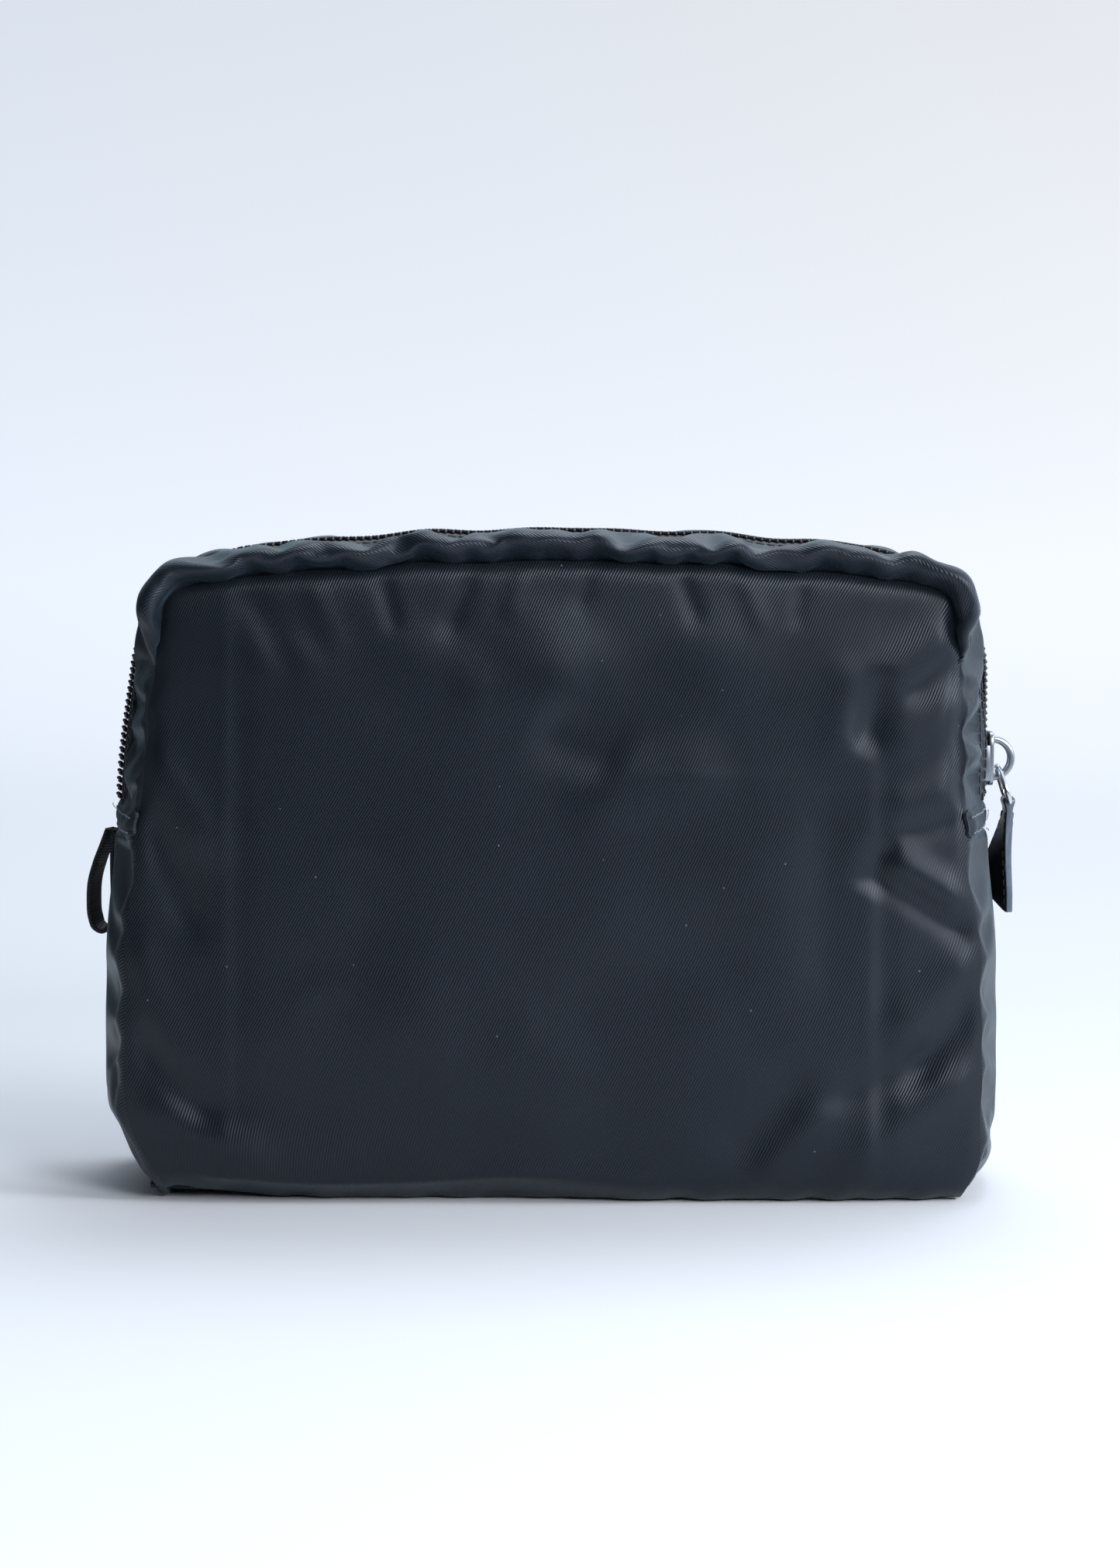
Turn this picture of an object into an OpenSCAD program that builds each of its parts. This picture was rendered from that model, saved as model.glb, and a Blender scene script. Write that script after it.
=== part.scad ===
// Soft zipped makeup bag that stands on a boxed base.
// X is the width, Y the depth with the front at -Y, Z is up, and the base rests on Z = 0.
// The zip runs up the right side, over the top and down the left side, at mid-depth.
// The cloth above the fold line at the front is a lip that folds forward when the zip is open.

/* [Body] */
// Width over the side gussets
body_w = 196; // [170:1:220]
// Depth from the front panel to the back panel
body_d = 70; // [60:1:90]
// Height of the top gusset above the table
body_h = 148; // [130:1:170]
// Radius of the top corners, seen from the front
corner_r = 26; // [20:1:30]
// Width of the rolled edge between a panel and the gusset
roll_w = 8; // [5:0.5:12]

/* [Cloth] */
// Thickness of the outer cloth with its backing
cloth_t = 1; // [0.6:0.1:1.4]
// Thickness of the lining
lining_t = 0.4; // [0.2:0.1:0.6]

/* [Mouth] */
// Height of the fold line of the front lip
fold_z = 104; // [104:1:108]
// Height at which the zip gusset meets the side gusset
zip_end_z = 82; // [78:1:84]

/* [Zip] */
// Width of one zip tape, from its sewn edge to the middle of the zip
tape_w = 15; // [13:0.5:17]
// Thickness of the tape
tape_t = 0.6; // [0.4:0.1:0.8]
// Width of one row of coil
coil_w = 2.8; // [2.4:0.1:3]
// Height of the coil above the tape
coil_h = 1.9; // [1.5:0.1:2.1]

/* [Slider] */
// Length of the slider along the zip
slider_l = 12.3; // [11:0.1:13]
// Width of the slider
slider_w = 9; // [8.6:0.1:10]
// Length of the wire link between the bail and the leather
link_l = 7.6; // [7:0.1:9]
// Diameter of the link's wire
wire_d = 1.2; // [1:0.1:1.3]
// Length of the leather pull below the link
pull_l = 26; // [20:1:32]
// Width of the leather pull at its lower end
pull_w = 11; // [9:0.5:13]

/* [Hidden] */
$fn = 48;

RIGHT = 1;
LEFT = -1;
BOTH = 0;
FRONT = -1;
REAR = 1;

half_w = body_w / 2;
half_d = body_d / 2;
far = 2 * (body_w + body_h);

// Depths, measured from mid-depth outwards
cloth_in = half_d - cloth_t;
lining_in = cloth_in - lining_t;
lining_z = cloth_t + lining_t;
gusset_edge = 12;
coil_gap = 0.5;
coil_edge = coil_gap + coil_w;
tape_edge = 1.6;

// Topstitching, as distances from mid-depth
stitch_rows = [12.9, 15.4];
thread_t = 0.3;
thread_w = 0.5;

// End tabs, which cover the ends of the zip
tab_z = 81;
tab_top = 87;
tab_t = 0.8;
tab_half = 28;
chain_z = tab_top + 0.3;

// Slider, on the right side
tape_x = half_w - cloth_t;
gap = 0.3;
plate_t = 1.1;
plate_out = tape_x + coil_h + gap;
plate_in = tape_x - tape_t - gap;
slider_z = 90.4;
slider_mid = slider_z + slider_l / 2;
flange_t = 0.8;
post_t = 0.6;
post_l = 3;
bail_r = 5.2;
bail_hole = 3.4;
bail_w = 2.6;
bail_mid = [plate_out + plate_t, slider_mid];

// Link and leather pull, as points in X and Z
link_lean = 18;
hang_angle = 60;
play = 0.1;
hang_r = bail_hole - wire_d / 2 - play;
link_top = bail_mid + hang_r * [cos(hang_angle), -sin(hang_angle)];
link_end = link_top + link_l * [sin(link_lean), -cos(link_lean)];
link_top_y = 2.6;
link_end_y = 4.6;
fold_r = 1.25;
fold_hole = wire_d / 2 + play;
fold_half = 3.4;
fold_drop = 0.9;
pull_t = 2;
pull_tip = 5;
dash_count = 7;
dash_start = 3;
dash_pitch = 2.6;
dash_l = 1.6;
dash_w = 0.4;
dash_t = 0.2;
dash_inset = 1;

// Ribbon loop, on the left side
loop_w = 9;
loop_t = 1;
loop_x = half_w + 0.3;
loop_top = 80.6;
loop_r = 3.3;
loop_mid = [loop_x + loop_r, 60.3];
loop_shoulder = 69;
loop_head = 3;

// Front outline of the bag, a rectangle with two round top corners, taken in by inset
module outline(inset) {
    w = half_w - inset;
    top = body_h - inset;
    r = corner_r - inset;
    translate([-w, 0]) square([2 * w, top - r]);
    translate([r - w, 0]) square([2 * (w - r), top]);
    for (side = [LEFT, RIGHT])
        translate([side * (w - r), top - r]) circle(r);
}

// What is left of the children between two heights, on one side of the bag or on both
module between(low, high, side = BOTH) {
    start = side == RIGHT ? 0 : -far;
    end = side == LEFT ? 0 : far;
    intersection() {
        children();
        translate([start, low]) square([end - start, high - low]);
    }
}

// Gives a shape in X and Z its depth, from near to out away from mid-depth, at the front or the rear
module deep(face, near, out) {
    start = face == REAR ? out : -near;
    translate([0, start, 0]) rotate([90, 0, 0]) linear_extrude(out - near) children();
}

// A band that follows the outline between two insets and two depths
module band(face, depths, insets, low, high, side) {
    deep(face, depths[0], depths[1]) between(low, high, side) difference() {
        outline(insets[0]);
        outline(insets[1]);
    }
}

// Outer cloth

module panel_shape(inset) {
    between(cloth_t, zip_end_z) outline(0);
    between(zip_end_z, far) outline(inset);
}

module panel(face, low, high) {
    color([0.10, 0.11, 0.13]) deep(face, cloth_in, half_d) between(low, high) panel_shape(roll_w);
}

module base_panel() {
    color([0.10, 0.11, 0.13]) translate([-half_w, -half_d, 0]) cube([body_w, body_d, cloth_t]);
}

module side_gusset(side) {
    x = side == RIGHT ? half_w - cloth_t : -half_w;
    color([0.12, 0.13, 0.15])
        translate([x, -cloth_in, cloth_t]) cube([cloth_t, 2 * cloth_in, zip_end_z - cloth_t]);
}

// The gusset cloth turns over the panel's seam as a rolled edge, then runs in to the zip
module zip_gusset(face, low, high, side = BOTH) {
    color([0.13, 0.14, 0.16]) union() {
        band(face, [cloth_in, half_d], [0, roll_w], low, high, side);
        band(face, [gusset_edge, cloth_in], [0, cloth_t], low, high, side);
    }
}

// Zip

module zip_tape(face, low, high, side = BOTH) {
    color([0.09, 0.09, 0.10])
        band(face, [tape_edge, tape_w], [cloth_t, cloth_t + tape_t], low, high, side);
}

module zip_coil(face, low, high, side = BOTH) {
    color([0.05, 0.05, 0.06])
        band(face, [coil_gap, coil_edge], [cloth_t - coil_h, cloth_t], low, high, side);
}

module topstitch(face, low, high, side = BOTH) {
    color([0.06, 0.06, 0.08])
        for (row = stitch_rows)
            band(face, [row - thread_w / 2, row + thread_w / 2], [-thread_t, 0], low, high, side);
}

module end_tab(side) {
    x = side == RIGHT ? half_w : -half_w - tab_t;
    color([0.12, 0.12, 0.14])
        translate([x, -tab_half, tab_z]) cube([tab_t, 2 * tab_half, tab_top - tab_z]);
}

// Lining, a thin inner bag

module lining_panel(face, low, high) {
    color([0.07, 0.07, 0.08]) deep(face, lining_in, cloth_in) between(low, high) outline(cloth_t);
}

module lining_base() {
    color([0.07, 0.07, 0.08])
        translate([cloth_t - half_w, -cloth_in, cloth_t])
            cube([body_w - 2 * cloth_t, 2 * cloth_in, lining_t]);
}

module lining_side(side) {
    x = side == RIGHT ? half_w - cloth_t - lining_t : cloth_t - half_w;
    color([0.07, 0.07, 0.08])
        translate([x, -lining_in, lining_z]) cube([lining_t, 2 * lining_in, zip_end_z - lining_z]);
}

module lining_gusset(face, low, high, side = BOTH) {
    color([0.07, 0.07, 0.08])
        band(face, [tape_w, lining_in], [cloth_t, cloth_t + lining_t], low, high, side);
}

// Slider and pull

// An outer and an inner plate, joined by a thin post at the lower end, with a flange on each side
module slider_body() {
    color([0.75, 0.76, 0.78]) union() {
        translate([plate_out, -slider_w / 2, slider_z]) cube([plate_t, slider_w, slider_l]);
        translate([plate_in - plate_t, -slider_w / 2, slider_z]) cube([plate_t, slider_w, slider_l]);
        translate([plate_in, -post_t / 2, slider_z]) cube([plate_out - plate_in, post_t, post_l]);
        for (side = [FRONT, REAR])
            translate([tape_x + gap, side * (slider_w - flange_t) / 2 - flange_t / 2, slider_z])
                cube([coil_h, flange_t, slider_l]);
    }
}

module slider_bail() {
    color([0.75, 0.76, 0.78])
        translate([0, bail_w / 2, 0]) rotate([90, 0, 0]) linear_extrude(bail_w) intersection() {
            translate(bail_mid) difference() {
                circle(bail_r);
                circle(bail_hole);
            }
            translate([bail_mid.x, 0]) square([2 * bail_r, far]);
        }
}

// A round wire from one point to another, with ball ends
module wire(from, to, d) {
    run = to - from;
    translate(from) sphere(d = d);
    translate(to) sphere(d = d);
    translate(from) rotate([0, acos(run.z / norm(run)), atan2(run.y, run.x)])
        cylinder(d = d, h = norm(run));
}

module pull_link() {
    corners = [
        [link_top.x, -link_top_y, link_top.y], [link_top.x, link_top_y, link_top.y],
        [link_end.x, link_end_y, link_end.y], [link_end.x, -link_end_y, link_end.y]
    ];
    color([0.80, 0.81, 0.83]) union() {
        for (i = [0 : 3]) wire(corners[i], corners[(i + 1) % 4], wire_d);
    }
}

// Outline of the leather below the fold, in Y and Z, with a slanting lower end that is longest at the front
module pull_shape() {
    drop = link_end.y;
    polygon([
        [-fold_half, drop - fold_drop], [fold_half, drop - fold_drop],
        [pull_w / 2, drop - pull_l + pull_tip], [-pull_w / 2, drop - pull_l]
    ]);
}

module pull_leather() {
    color([0.06, 0.06, 0.07]) difference() {
        union() {
            translate([link_end.x - pull_t / 2, 0, 0])
                rotate([90, 0, 90]) linear_extrude(pull_t) pull_shape();
            translate([link_end.x, fold_half, link_end.y])
                rotate([90, 0, 0]) cylinder(r = fold_r, h = 2 * fold_half);
        }
        translate([link_end.x, fold_half + 1, link_end.y])
            rotate([90, 0, 0]) cylinder(r = fold_hole, h = 2 * fold_half + 2);
    }
}

// Two rows of thread dashes on the outer face of the leather
module pull_stitching() {
    flare = (pull_w / 2 - fold_half) / (pull_l - pull_tip - fold_drop);
    color([0.10, 0.10, 0.11])
        for (side = [LEFT, RIGHT], i = [0 : dash_count - 1])
            let (drop = dash_start + i * dash_pitch,
                 y = side * (fold_half - dash_inset + flare * drop))
                translate([link_end.x + pull_t / 2, y - dash_w / 2, link_end.y - drop - dash_l])
                    cube([dash_t, dash_w, dash_l]);
}

// Ribbon loop: one leaf hangs straight, the other bows out and meets it at the sewn head
module loop_shape() {
    inner = loop_mid.x - loop_r;
    outer = loop_mid.x + loop_r;
    translate(loop_mid) intersection() {
        difference() {
            circle(loop_r);
            circle(loop_r - loop_t);
        }
        translate([-loop_r, -loop_r]) square([2 * loop_r, loop_r]);
    }
    translate([inner, loop_mid.y]) square([loop_t, loop_top - loop_mid.y]);
    polygon([
        [outer - loop_t, loop_mid.y], [outer, loop_mid.y], [outer, loop_shoulder],
        [inner + 2 * loop_t, loop_top], [inner + loop_t, loop_top],
        [inner + loop_t, loop_top - loop_head], [outer - loop_t, loop_shoulder]
    ]);
}

module loop_ribbon() {
    color([0.04, 0.04, 0.05])
        mirror([1, 0, 0]) translate([0, loop_w / 2, 0])
            rotate([90, 0, 0]) linear_extrude(loop_w) loop_shape();
}

panel(FRONT, 0, fold_z);  // front_panel_lower
panel(REAR, 0, far);  // back_panel
base_panel();
side_gusset(RIGHT);  // side_gusset_right
side_gusset(LEFT);  // side_gusset_left
zip_gusset(FRONT, zip_end_z, fold_z, RIGHT);  // zip_gusset_front_right
zip_gusset(FRONT, zip_end_z, fold_z, LEFT);  // zip_gusset_front_left
zip_gusset(REAR, zip_end_z, far);  // zip_gusset_rear
zip_tape(FRONT, zip_end_z, fold_z, RIGHT);  // zip_tape_front_right
zip_tape(FRONT, zip_end_z, fold_z, LEFT);  // zip_tape_front_left
zip_tape(REAR, zip_end_z, far);  // zip_tape_rear
zip_coil(FRONT, chain_z, fold_z, RIGHT);  // zip_coil_front_right
zip_coil(FRONT, chain_z, fold_z, LEFT);  // zip_coil_front_left
zip_coil(REAR, chain_z, far);  // zip_coil_rear
topstitch(FRONT, tab_top, fold_z, RIGHT);  // topstitch_front_right
topstitch(FRONT, tab_top, fold_z, LEFT);  // topstitch_front_left
topstitch(REAR, tab_top, far);  // topstitch_rear
end_tab(RIGHT);  // end_tab_right
end_tab(LEFT);  // end_tab_left
lining_panel(FRONT, lining_z, fold_z);  // lining_front_lower
lining_panel(REAR, lining_z, far);  // lining_back
lining_base();
lining_side(RIGHT);  // lining_side_right
lining_side(LEFT);  // lining_side_left
lining_gusset(FRONT, zip_end_z, fold_z, RIGHT);  // lining_gusset_front_right
lining_gusset(FRONT, zip_end_z, fold_z, LEFT);  // lining_gusset_front_left
lining_gusset(REAR, zip_end_z, far);  // lining_gusset_rear
panel(FRONT, fold_z, far);  // front_panel_upper
zip_gusset(FRONT, fold_z, far);  // zip_gusset_front_upper
zip_tape(FRONT, fold_z, far);  // zip_tape_front_upper
zip_coil(FRONT, fold_z, far);  // zip_coil_front_upper
topstitch(FRONT, fold_z, far);  // topstitch_front_upper
lining_panel(FRONT, fold_z, far);  // lining_front_upper
lining_gusset(FRONT, fold_z, far);  // lining_gusset_front_upper
slider_body();
slider_bail();
pull_link();
pull_leather();
pull_stitching();
loop_ribbon();
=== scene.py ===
"""Looks of a zipped makeup bag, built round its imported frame.

Lengths are in metres. X is the bag's width, -Y its front, and Z is up from the base that it stands on.
"""
import logging
import math
from dataclasses import dataclass, field
from enum import Enum, IntEnum
from typing import Any, Callable, Sequence

import bpy
import numpy as np
from mathutils import Matrix, Vector


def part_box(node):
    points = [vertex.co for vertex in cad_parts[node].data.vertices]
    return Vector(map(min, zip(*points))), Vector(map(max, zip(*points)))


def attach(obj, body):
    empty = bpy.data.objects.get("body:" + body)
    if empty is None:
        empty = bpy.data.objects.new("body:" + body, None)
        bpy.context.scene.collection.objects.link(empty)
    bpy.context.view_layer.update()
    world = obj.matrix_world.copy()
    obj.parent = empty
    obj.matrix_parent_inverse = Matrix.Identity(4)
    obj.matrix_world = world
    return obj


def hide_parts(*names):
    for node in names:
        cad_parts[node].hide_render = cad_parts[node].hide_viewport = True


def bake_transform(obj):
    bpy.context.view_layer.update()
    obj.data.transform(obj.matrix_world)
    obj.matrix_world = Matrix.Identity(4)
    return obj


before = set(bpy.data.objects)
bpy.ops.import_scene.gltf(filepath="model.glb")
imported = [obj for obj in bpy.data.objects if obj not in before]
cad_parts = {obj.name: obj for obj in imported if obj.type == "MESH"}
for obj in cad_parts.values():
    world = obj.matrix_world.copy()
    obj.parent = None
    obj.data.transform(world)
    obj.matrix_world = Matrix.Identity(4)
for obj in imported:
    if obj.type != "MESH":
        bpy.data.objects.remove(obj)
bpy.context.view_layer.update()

LOG = logging.getLogger("makeup_bag")
MM = 0.001
Array = np.ndarray
Pair = tuple[float, float]
Triple = tuple[float, float, float]


class Face(IntEnum):
    """The two faces of the bag, as the sign of Y."""

    FRONT = -1
    REAR = 1


class Side(IntEnum):
    """The two ends of the bag, as the sign of X."""

    LEFT = -1
    RIGHT = 1


class Body(str, Enum):
    """The bodies that pieces ride on."""

    ROOT = "root"
    LIP = "front_lip"
    SLIDER = "slider"
    LINK = "pull_link"
    PULL = "pull_tab"
    LOOP = "ribbon_loop"


# Numbers and curves


def smooth(low: float, high: float, value: Array) -> Array:
    """Rises smoothly from 0 to 1 between two values.

    Args:
        low: Where the rise starts, which may be above high for a fall.
        high: Where the rise ends.
        value: The values to rate.

    Returns:
        A share from 0 to 1 for each value.
    """
    share = np.clip((value - low) / (high - low), 0.0, 1.0)
    return share * share * (3.0 - 2.0 * share)


def hump(middle: float, width: float, value: Array) -> Array:
    """A bell curve of height 1.

    Args:
        middle: Where it peaks.
        width: Distance from the peak at which it has fallen to about a third.
        value: The values to rate.

    Returns:
        The bell's height at each value.
    """
    return np.exp(-(((value - middle) / width) ** 2))


def spline(points: Sequence[Sequence[float]], share: Array) -> Array:
    """A smooth curve through points, spaced by the distance between them.

    Args:
        points: The points, of any dimension.
        share: Places along the curve, from 0 to 1.

    Returns:
        One point of the curve for each place.
    """
    knots = np.asarray(points, float)
    steps = np.linalg.norm(np.diff(knots, axis=0), axis=1)
    reach = np.concatenate([[0.0], np.cumsum(steps)])
    slopes = np.gradient(knots, reach, axis=0)
    at = np.clip(np.asarray(share, float), 0.0, 1.0) * reach[-1]
    i = np.clip(np.searchsorted(reach, at, side="right") - 1, 0, len(steps) - 1)
    span = steps[i][..., None]
    t = (at - reach[i])[..., None] / span
    start, end = knots[i], knots[i + 1]
    return (
        start * (2 * t**3 - 3 * t**2 + 1)
        + slopes[i] * span * (t**3 - 2 * t**2 + t)
        + end * (3 * t**2 - 2 * t**3)
        + slopes[i + 1] * span * (t**3 - t**2)
    )


def ripple(seed: int, along: Array, shortest: float, longest: float, waves: int = 9) -> Array:
    """An irregular wave along a line, the same on every run.

    Args:
        seed: Chooses the wave.
        along: Places along the line.
        shortest: Shortest wavelength in the mix.
        longest: Longest wavelength in the mix.
        waves: Number of sine waves in the mix.

    Returns:
        A height of about -1 to 1 at each place.
    """
    draw = np.random.default_rng(seed)
    lengths = draw.uniform(shortest, longest, waves)
    phases = draw.uniform(0.0, math.tau, waves)
    total = sum(np.sin(math.tau * along / l + p) for l, p in zip(lengths, phases))
    return total / math.sqrt(waves)


# Mesh work


def deselect_all() -> None:
    """Leaves nothing selected, in object mode."""
    if bpy.context.object is not None and bpy.context.object.mode != "OBJECT":
        bpy.ops.object.mode_set(mode="OBJECT")
    bpy.ops.object.select_all(action="DESELECT")


def pick(piece: bpy.types.Object) -> None:
    """Selects one piece alone and makes it active.

    Args:
        piece: The piece.
    """
    deselect_all()
    piece.select_set(True)
    bpy.context.view_layer.objects.active = piece


def named(name: str) -> bpy.types.Object:
    """Names the object that an operator has just added.

    Args:
        name: Its new name.

    Returns:
        The object.
    """
    piece = bpy.context.object
    piece.name = name
    piece.data.name = name
    return piece


def points_of(piece: bpy.types.Object) -> Array:
    """The places of a piece's vertices.

    Args:
        piece: A mesh object.

    Returns:
        An array with one row for each vertex.
    """
    flat = np.zeros(len(piece.data.vertices) * 3)
    piece.data.vertices.foreach_get("co", flat)
    return flat.reshape(-1, 3)


def put_points(piece: bpy.types.Object, points: Array) -> None:
    """Moves a piece's vertices.

    Args:
        piece: A mesh object.
        points: The new places, one row for each vertex.
    """
    piece.data.vertices.foreach_set("co", np.asarray(points, np.float32).ravel())
    piece.data.update()


def apply_modifiers(piece: bpy.types.Object) -> None:
    """Applies every modifier of a piece, in order.

    Args:
        piece: A mesh object.
    """
    pick(piece)
    for modifier in list(piece.modifiers):
        bpy.ops.object.modifier_apply(modifier=modifier.name)


def face_out(piece: bpy.types.Object, centre: Triple) -> None:
    """Turns an open sheet's faces to look away from a point.

    Args:
        piece: The sheet, whose faces already agree with each other.
        centre: The point that they look away from.
    """
    middle = Vector(centre)
    looking = sum(p.area * p.normal.dot(p.center - middle) for p in piece.data.polygons)
    if looking < 0:
        pick(piece)
        bpy.ops.object.mode_set(mode="EDIT")
        bpy.ops.mesh.select_all(action="SELECT")
        bpy.ops.mesh.flip_normals()
        bpy.ops.object.mode_set(mode="OBJECT")


def close_normals(piece: bpy.types.Object) -> None:
    """Merges doubles and turns a closed piece's faces outwards.

    Args:
        piece: A mesh object.
    """
    pick(piece)
    bpy.ops.object.mode_set(mode="EDIT")
    bpy.ops.mesh.select_all(action="SELECT")
    bpy.ops.mesh.remove_doubles(threshold=1e-6)
    bpy.ops.mesh.normals_make_consistent(inside=False)
    bpy.ops.object.mode_set(mode="OBJECT")


def smooth_shading(piece: bpy.types.Object, angle: float = 40.0) -> None:
    """Shades a piece smooth, apart from its sharp edges.

    Args:
        piece: A mesh object.
        angle: Edges sharper than this many degrees stay crisp.
    """
    pick(piece)
    bpy.ops.object.shade_smooth_by_angle(angle=math.radians(angle))


def settle_at_origin(piece: bpy.types.Object) -> None:
    """Puts a piece's place, turn and scale into its mesh.

    Args:
        piece: A mesh object.
    """
    pick(piece)
    bpy.ops.object.transform_apply(location=True, rotation=True, scale=True)


Shape = Callable[[Array, Array], Array]


@dataclass
class Cut:
    """A piece of cloth as it is cut: a grid of threads that a shape then places.

    Attributes:
        name: Name of the piece.
        columns: Number of cells across.
        rows: Number of cells up.
        shape: Gives the places for shares across and up the cloth.
    """

    name: str
    columns: int
    rows: int
    shape: Shape
    across: Array = field(init=False)
    up: Array = field(init=False)

    def lay(self) -> bpy.types.Object:
        """Adds the cloth in its place, with a UV map in metres along its threads.

        Returns:
            The sheet, one layer thick.
        """
        deselect_all()
        bpy.ops.mesh.primitive_grid_add(
            x_subdivisions=self.columns, y_subdivisions=self.rows, size=1.0, calc_uvs=True
        )
        sheet = named(self.name)
        flat = points_of(sheet) + 0.5
        self.across, self.up = flat[:, 0], flat[:, 1]
        placed = self.shape(self.across, self.up)
        put_points(sheet, placed)
        self._measure(sheet, placed)
        return sheet

    def _measure(self, sheet: bpy.types.Object, placed: Array) -> None:
        """Scales the UV map to the cloth's real size.

        Args:
            sheet: The cloth.
            placed: The places of its vertices.
        """
        row = np.abs(self.up - 0.5) < 0.5 / self.rows
        column = np.abs(self.across - 0.5) < 0.5 / self.columns
        size = []
        for mask, share in ((row, self.across), (column, self.up)):
            line = placed[mask][np.argsort(share[mask], kind="stable")]
            size.append(float(np.linalg.norm(np.diff(line, axis=0), axis=1).sum()))
        layer = sheet.data.uv_layers[0]
        uv = np.zeros(len(layer.data) * 2)
        layer.data.foreach_get("uv", uv)
        layer.data.foreach_set("uv", (uv.reshape(-1, 2) * np.array(size)).ravel())


@dataclass(frozen=True)
class Ease:
    """How loose cloth puckers between the seams that hold it.

    Attributes:
        growth: Share by which the cloth is longer than its seams.
        pressure: How hard it is pushed out from behind.
        bending: How stiff it is to fold.
        reach: The furthest that a point may move.
        frames: How long it is left to come to rest.
    """

    growth: float
    pressure: float
    bending: float
    reach: float
    frames: int = 25

    def pucker(
        self,
        sheet: bpy.types.Object,
        held: Array,
        slack: Array | None = None,
        limit: Array | float = 1.0,
    ) -> None:
        """Lets a sheet buckle, and keeps the result in its mesh.

        Args:
            sheet: The cloth.
            held: True where a seam holds a vertex still.
            slack: Share of the growth at each vertex, or None for all of it everywhere.
            limit: Share of the reach that each vertex may use.
        """
        before = points_of(sheet)
        seam = sheet.vertex_groups.new(name="seam")
        seam.add(np.flatnonzero(held).tolist(), 1.0, "REPLACE")
        cloth = sheet.modifiers.new("cloth", "CLOTH")
        settings = cloth.settings
        settings.quality = 5
        settings.mass = 0.2
        settings.tension_stiffness = settings.compression_stiffness = 15.0
        settings.shear_stiffness = 5.0
        settings.bending_stiffness = self.bending
        settings.tension_damping = settings.compression_damping = settings.shear_damping = 5.0
        settings.vertex_group_mass = seam.name
        settings.pin_stiffness = 50.0
        settings.shrink_min = settings.shrink_max = -self.growth
        if slack is not None:
            loose = sheet.vertex_groups.new(name="slack")
            for i, share in enumerate(slack):
                loose.add([i], float(share), "REPLACE")
            settings.vertex_group_shrink = loose.name
            settings.shrink_min = 0.0
        settings.use_pressure = self.pressure > 0
        settings.uniform_pressure_force = self.pressure
        settings.effector_weights.gravity = 0.0
        cloth.collision_settings.use_collision = False
        cloth.collision_settings.use_self_collision = False
        scene = bpy.context.scene
        cloth.point_cache.frame_end = self.frames
        for step in range(1, self.frames + 1):
            scene.frame_set(step)
        shaped = sheet.evaluated_get(bpy.context.evaluated_depsgraph_get())
        move = points_of(shaped) - before
        sheet.modifiers.remove(cloth)
        sheet.vertex_groups.clear()
        far = np.linalg.norm(move, axis=1)
        kept = np.minimum(1.0, self.reach * limit / np.maximum(far, 1e-9))
        put_points(sheet, before + move * kept[:, None])
        scene.frame_set(1)


def make_cloth(sheet: bpy.types.Object, thickness: float, centre: Triple, levels: int = 1) -> None:
    """Rounds a sheet off and gives it its thickness, inwards.

    Args:
        sheet: The cloth, one layer thick.
        thickness: Its thickness.
        centre: A point on its inner side.
        levels: Levels of subdivision.
    """
    face_out(sheet, centre)
    if levels:
        rounder = sheet.modifiers.new("round", "SUBSURF")
        rounder.levels = rounder.render_levels = levels
    wall = sheet.modifiers.new("wall", "SOLIDIFY")
    wall.thickness = thickness
    wall.offset = -1.0
    apply_modifiers(sheet)
    smooth_shading(sheet, 60.0)


def repeat(name: str, unit: bpy.types.Object, places: Sequence[Matrix]) -> bpy.types.Object:
    """Copies one small shape to many places, as one piece, and removes the original.

    Args:
        name: Name of the piece.
        unit: The shape, round its own origin.
        places: Where each copy goes.

    Returns:
        The piece.
    """
    shape = points_of(unit)
    faces = [tuple(p.vertices) for p in unit.data.polygons]
    count = len(shape)
    points = np.concatenate(
        [shape @ np.array(m.to_3x3()).T + np.array(m.translation) for m in places]
    )
    mesh = bpy.data.meshes.new(name)
    mesh.from_pydata(
        points.tolist(),
        [],
        [tuple(v + count * i for v in f) for i in range(len(places)) for f in faces],
    )
    piece = bpy.data.objects.new(name, mesh)
    bpy.context.scene.collection.objects.link(piece)
    bpy.data.objects.remove(unit)
    smooth_shading(piece, 60.0)
    return piece


# Shader maths


class Value:
    """A number that varies over a surface, with the usual sums on it."""

    def __init__(self, paint: "Paint", socket: bpy.types.NodeSocket) -> None:
        """Wraps a socket.

        Args:
            paint: The material that the socket is in.
            socket: The socket.
        """
        self.paint = paint
        self.socket = socket

    def math(self, operation: str, *others: "Value | float") -> "Value":
        """Adds a Math node.

        Args:
            operation: The node's operation.
            others: The other values in the sum.

        Returns:
            Its result.
        """
        terms = dict(enumerate((self, *others)))
        return self.paint.node("ShaderNodeMath", {"operation": operation}, terms).out()

    def __add__(self, other: "Value | float") -> "Value":
        """Adds."""
        return self.math("ADD", other)

    __radd__ = __add__

    def __mul__(self, other: "Value | float") -> "Value":
        """Multiplies."""
        return self.math("MULTIPLY", other)

    __rmul__ = __mul__

    def __sub__(self, other: "Value | float") -> "Value":
        """Subtracts."""
        return self.math("SUBTRACT", other)

    def sin(self) -> "Value":
        """The sine of the value in radians."""
        return self.math("SINE")

    def below(self, edge: float) -> "Value":
        """1 where the value is below an edge, and 0 elsewhere."""
        return self.math("LESS_THAN", edge)

    def wave(self, pitch: float) -> "Value":
        """A wave from 0 to 1 that repeats over a length."""
        return (self * (math.tau / pitch)).sin() * 0.5 + 0.5


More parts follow.
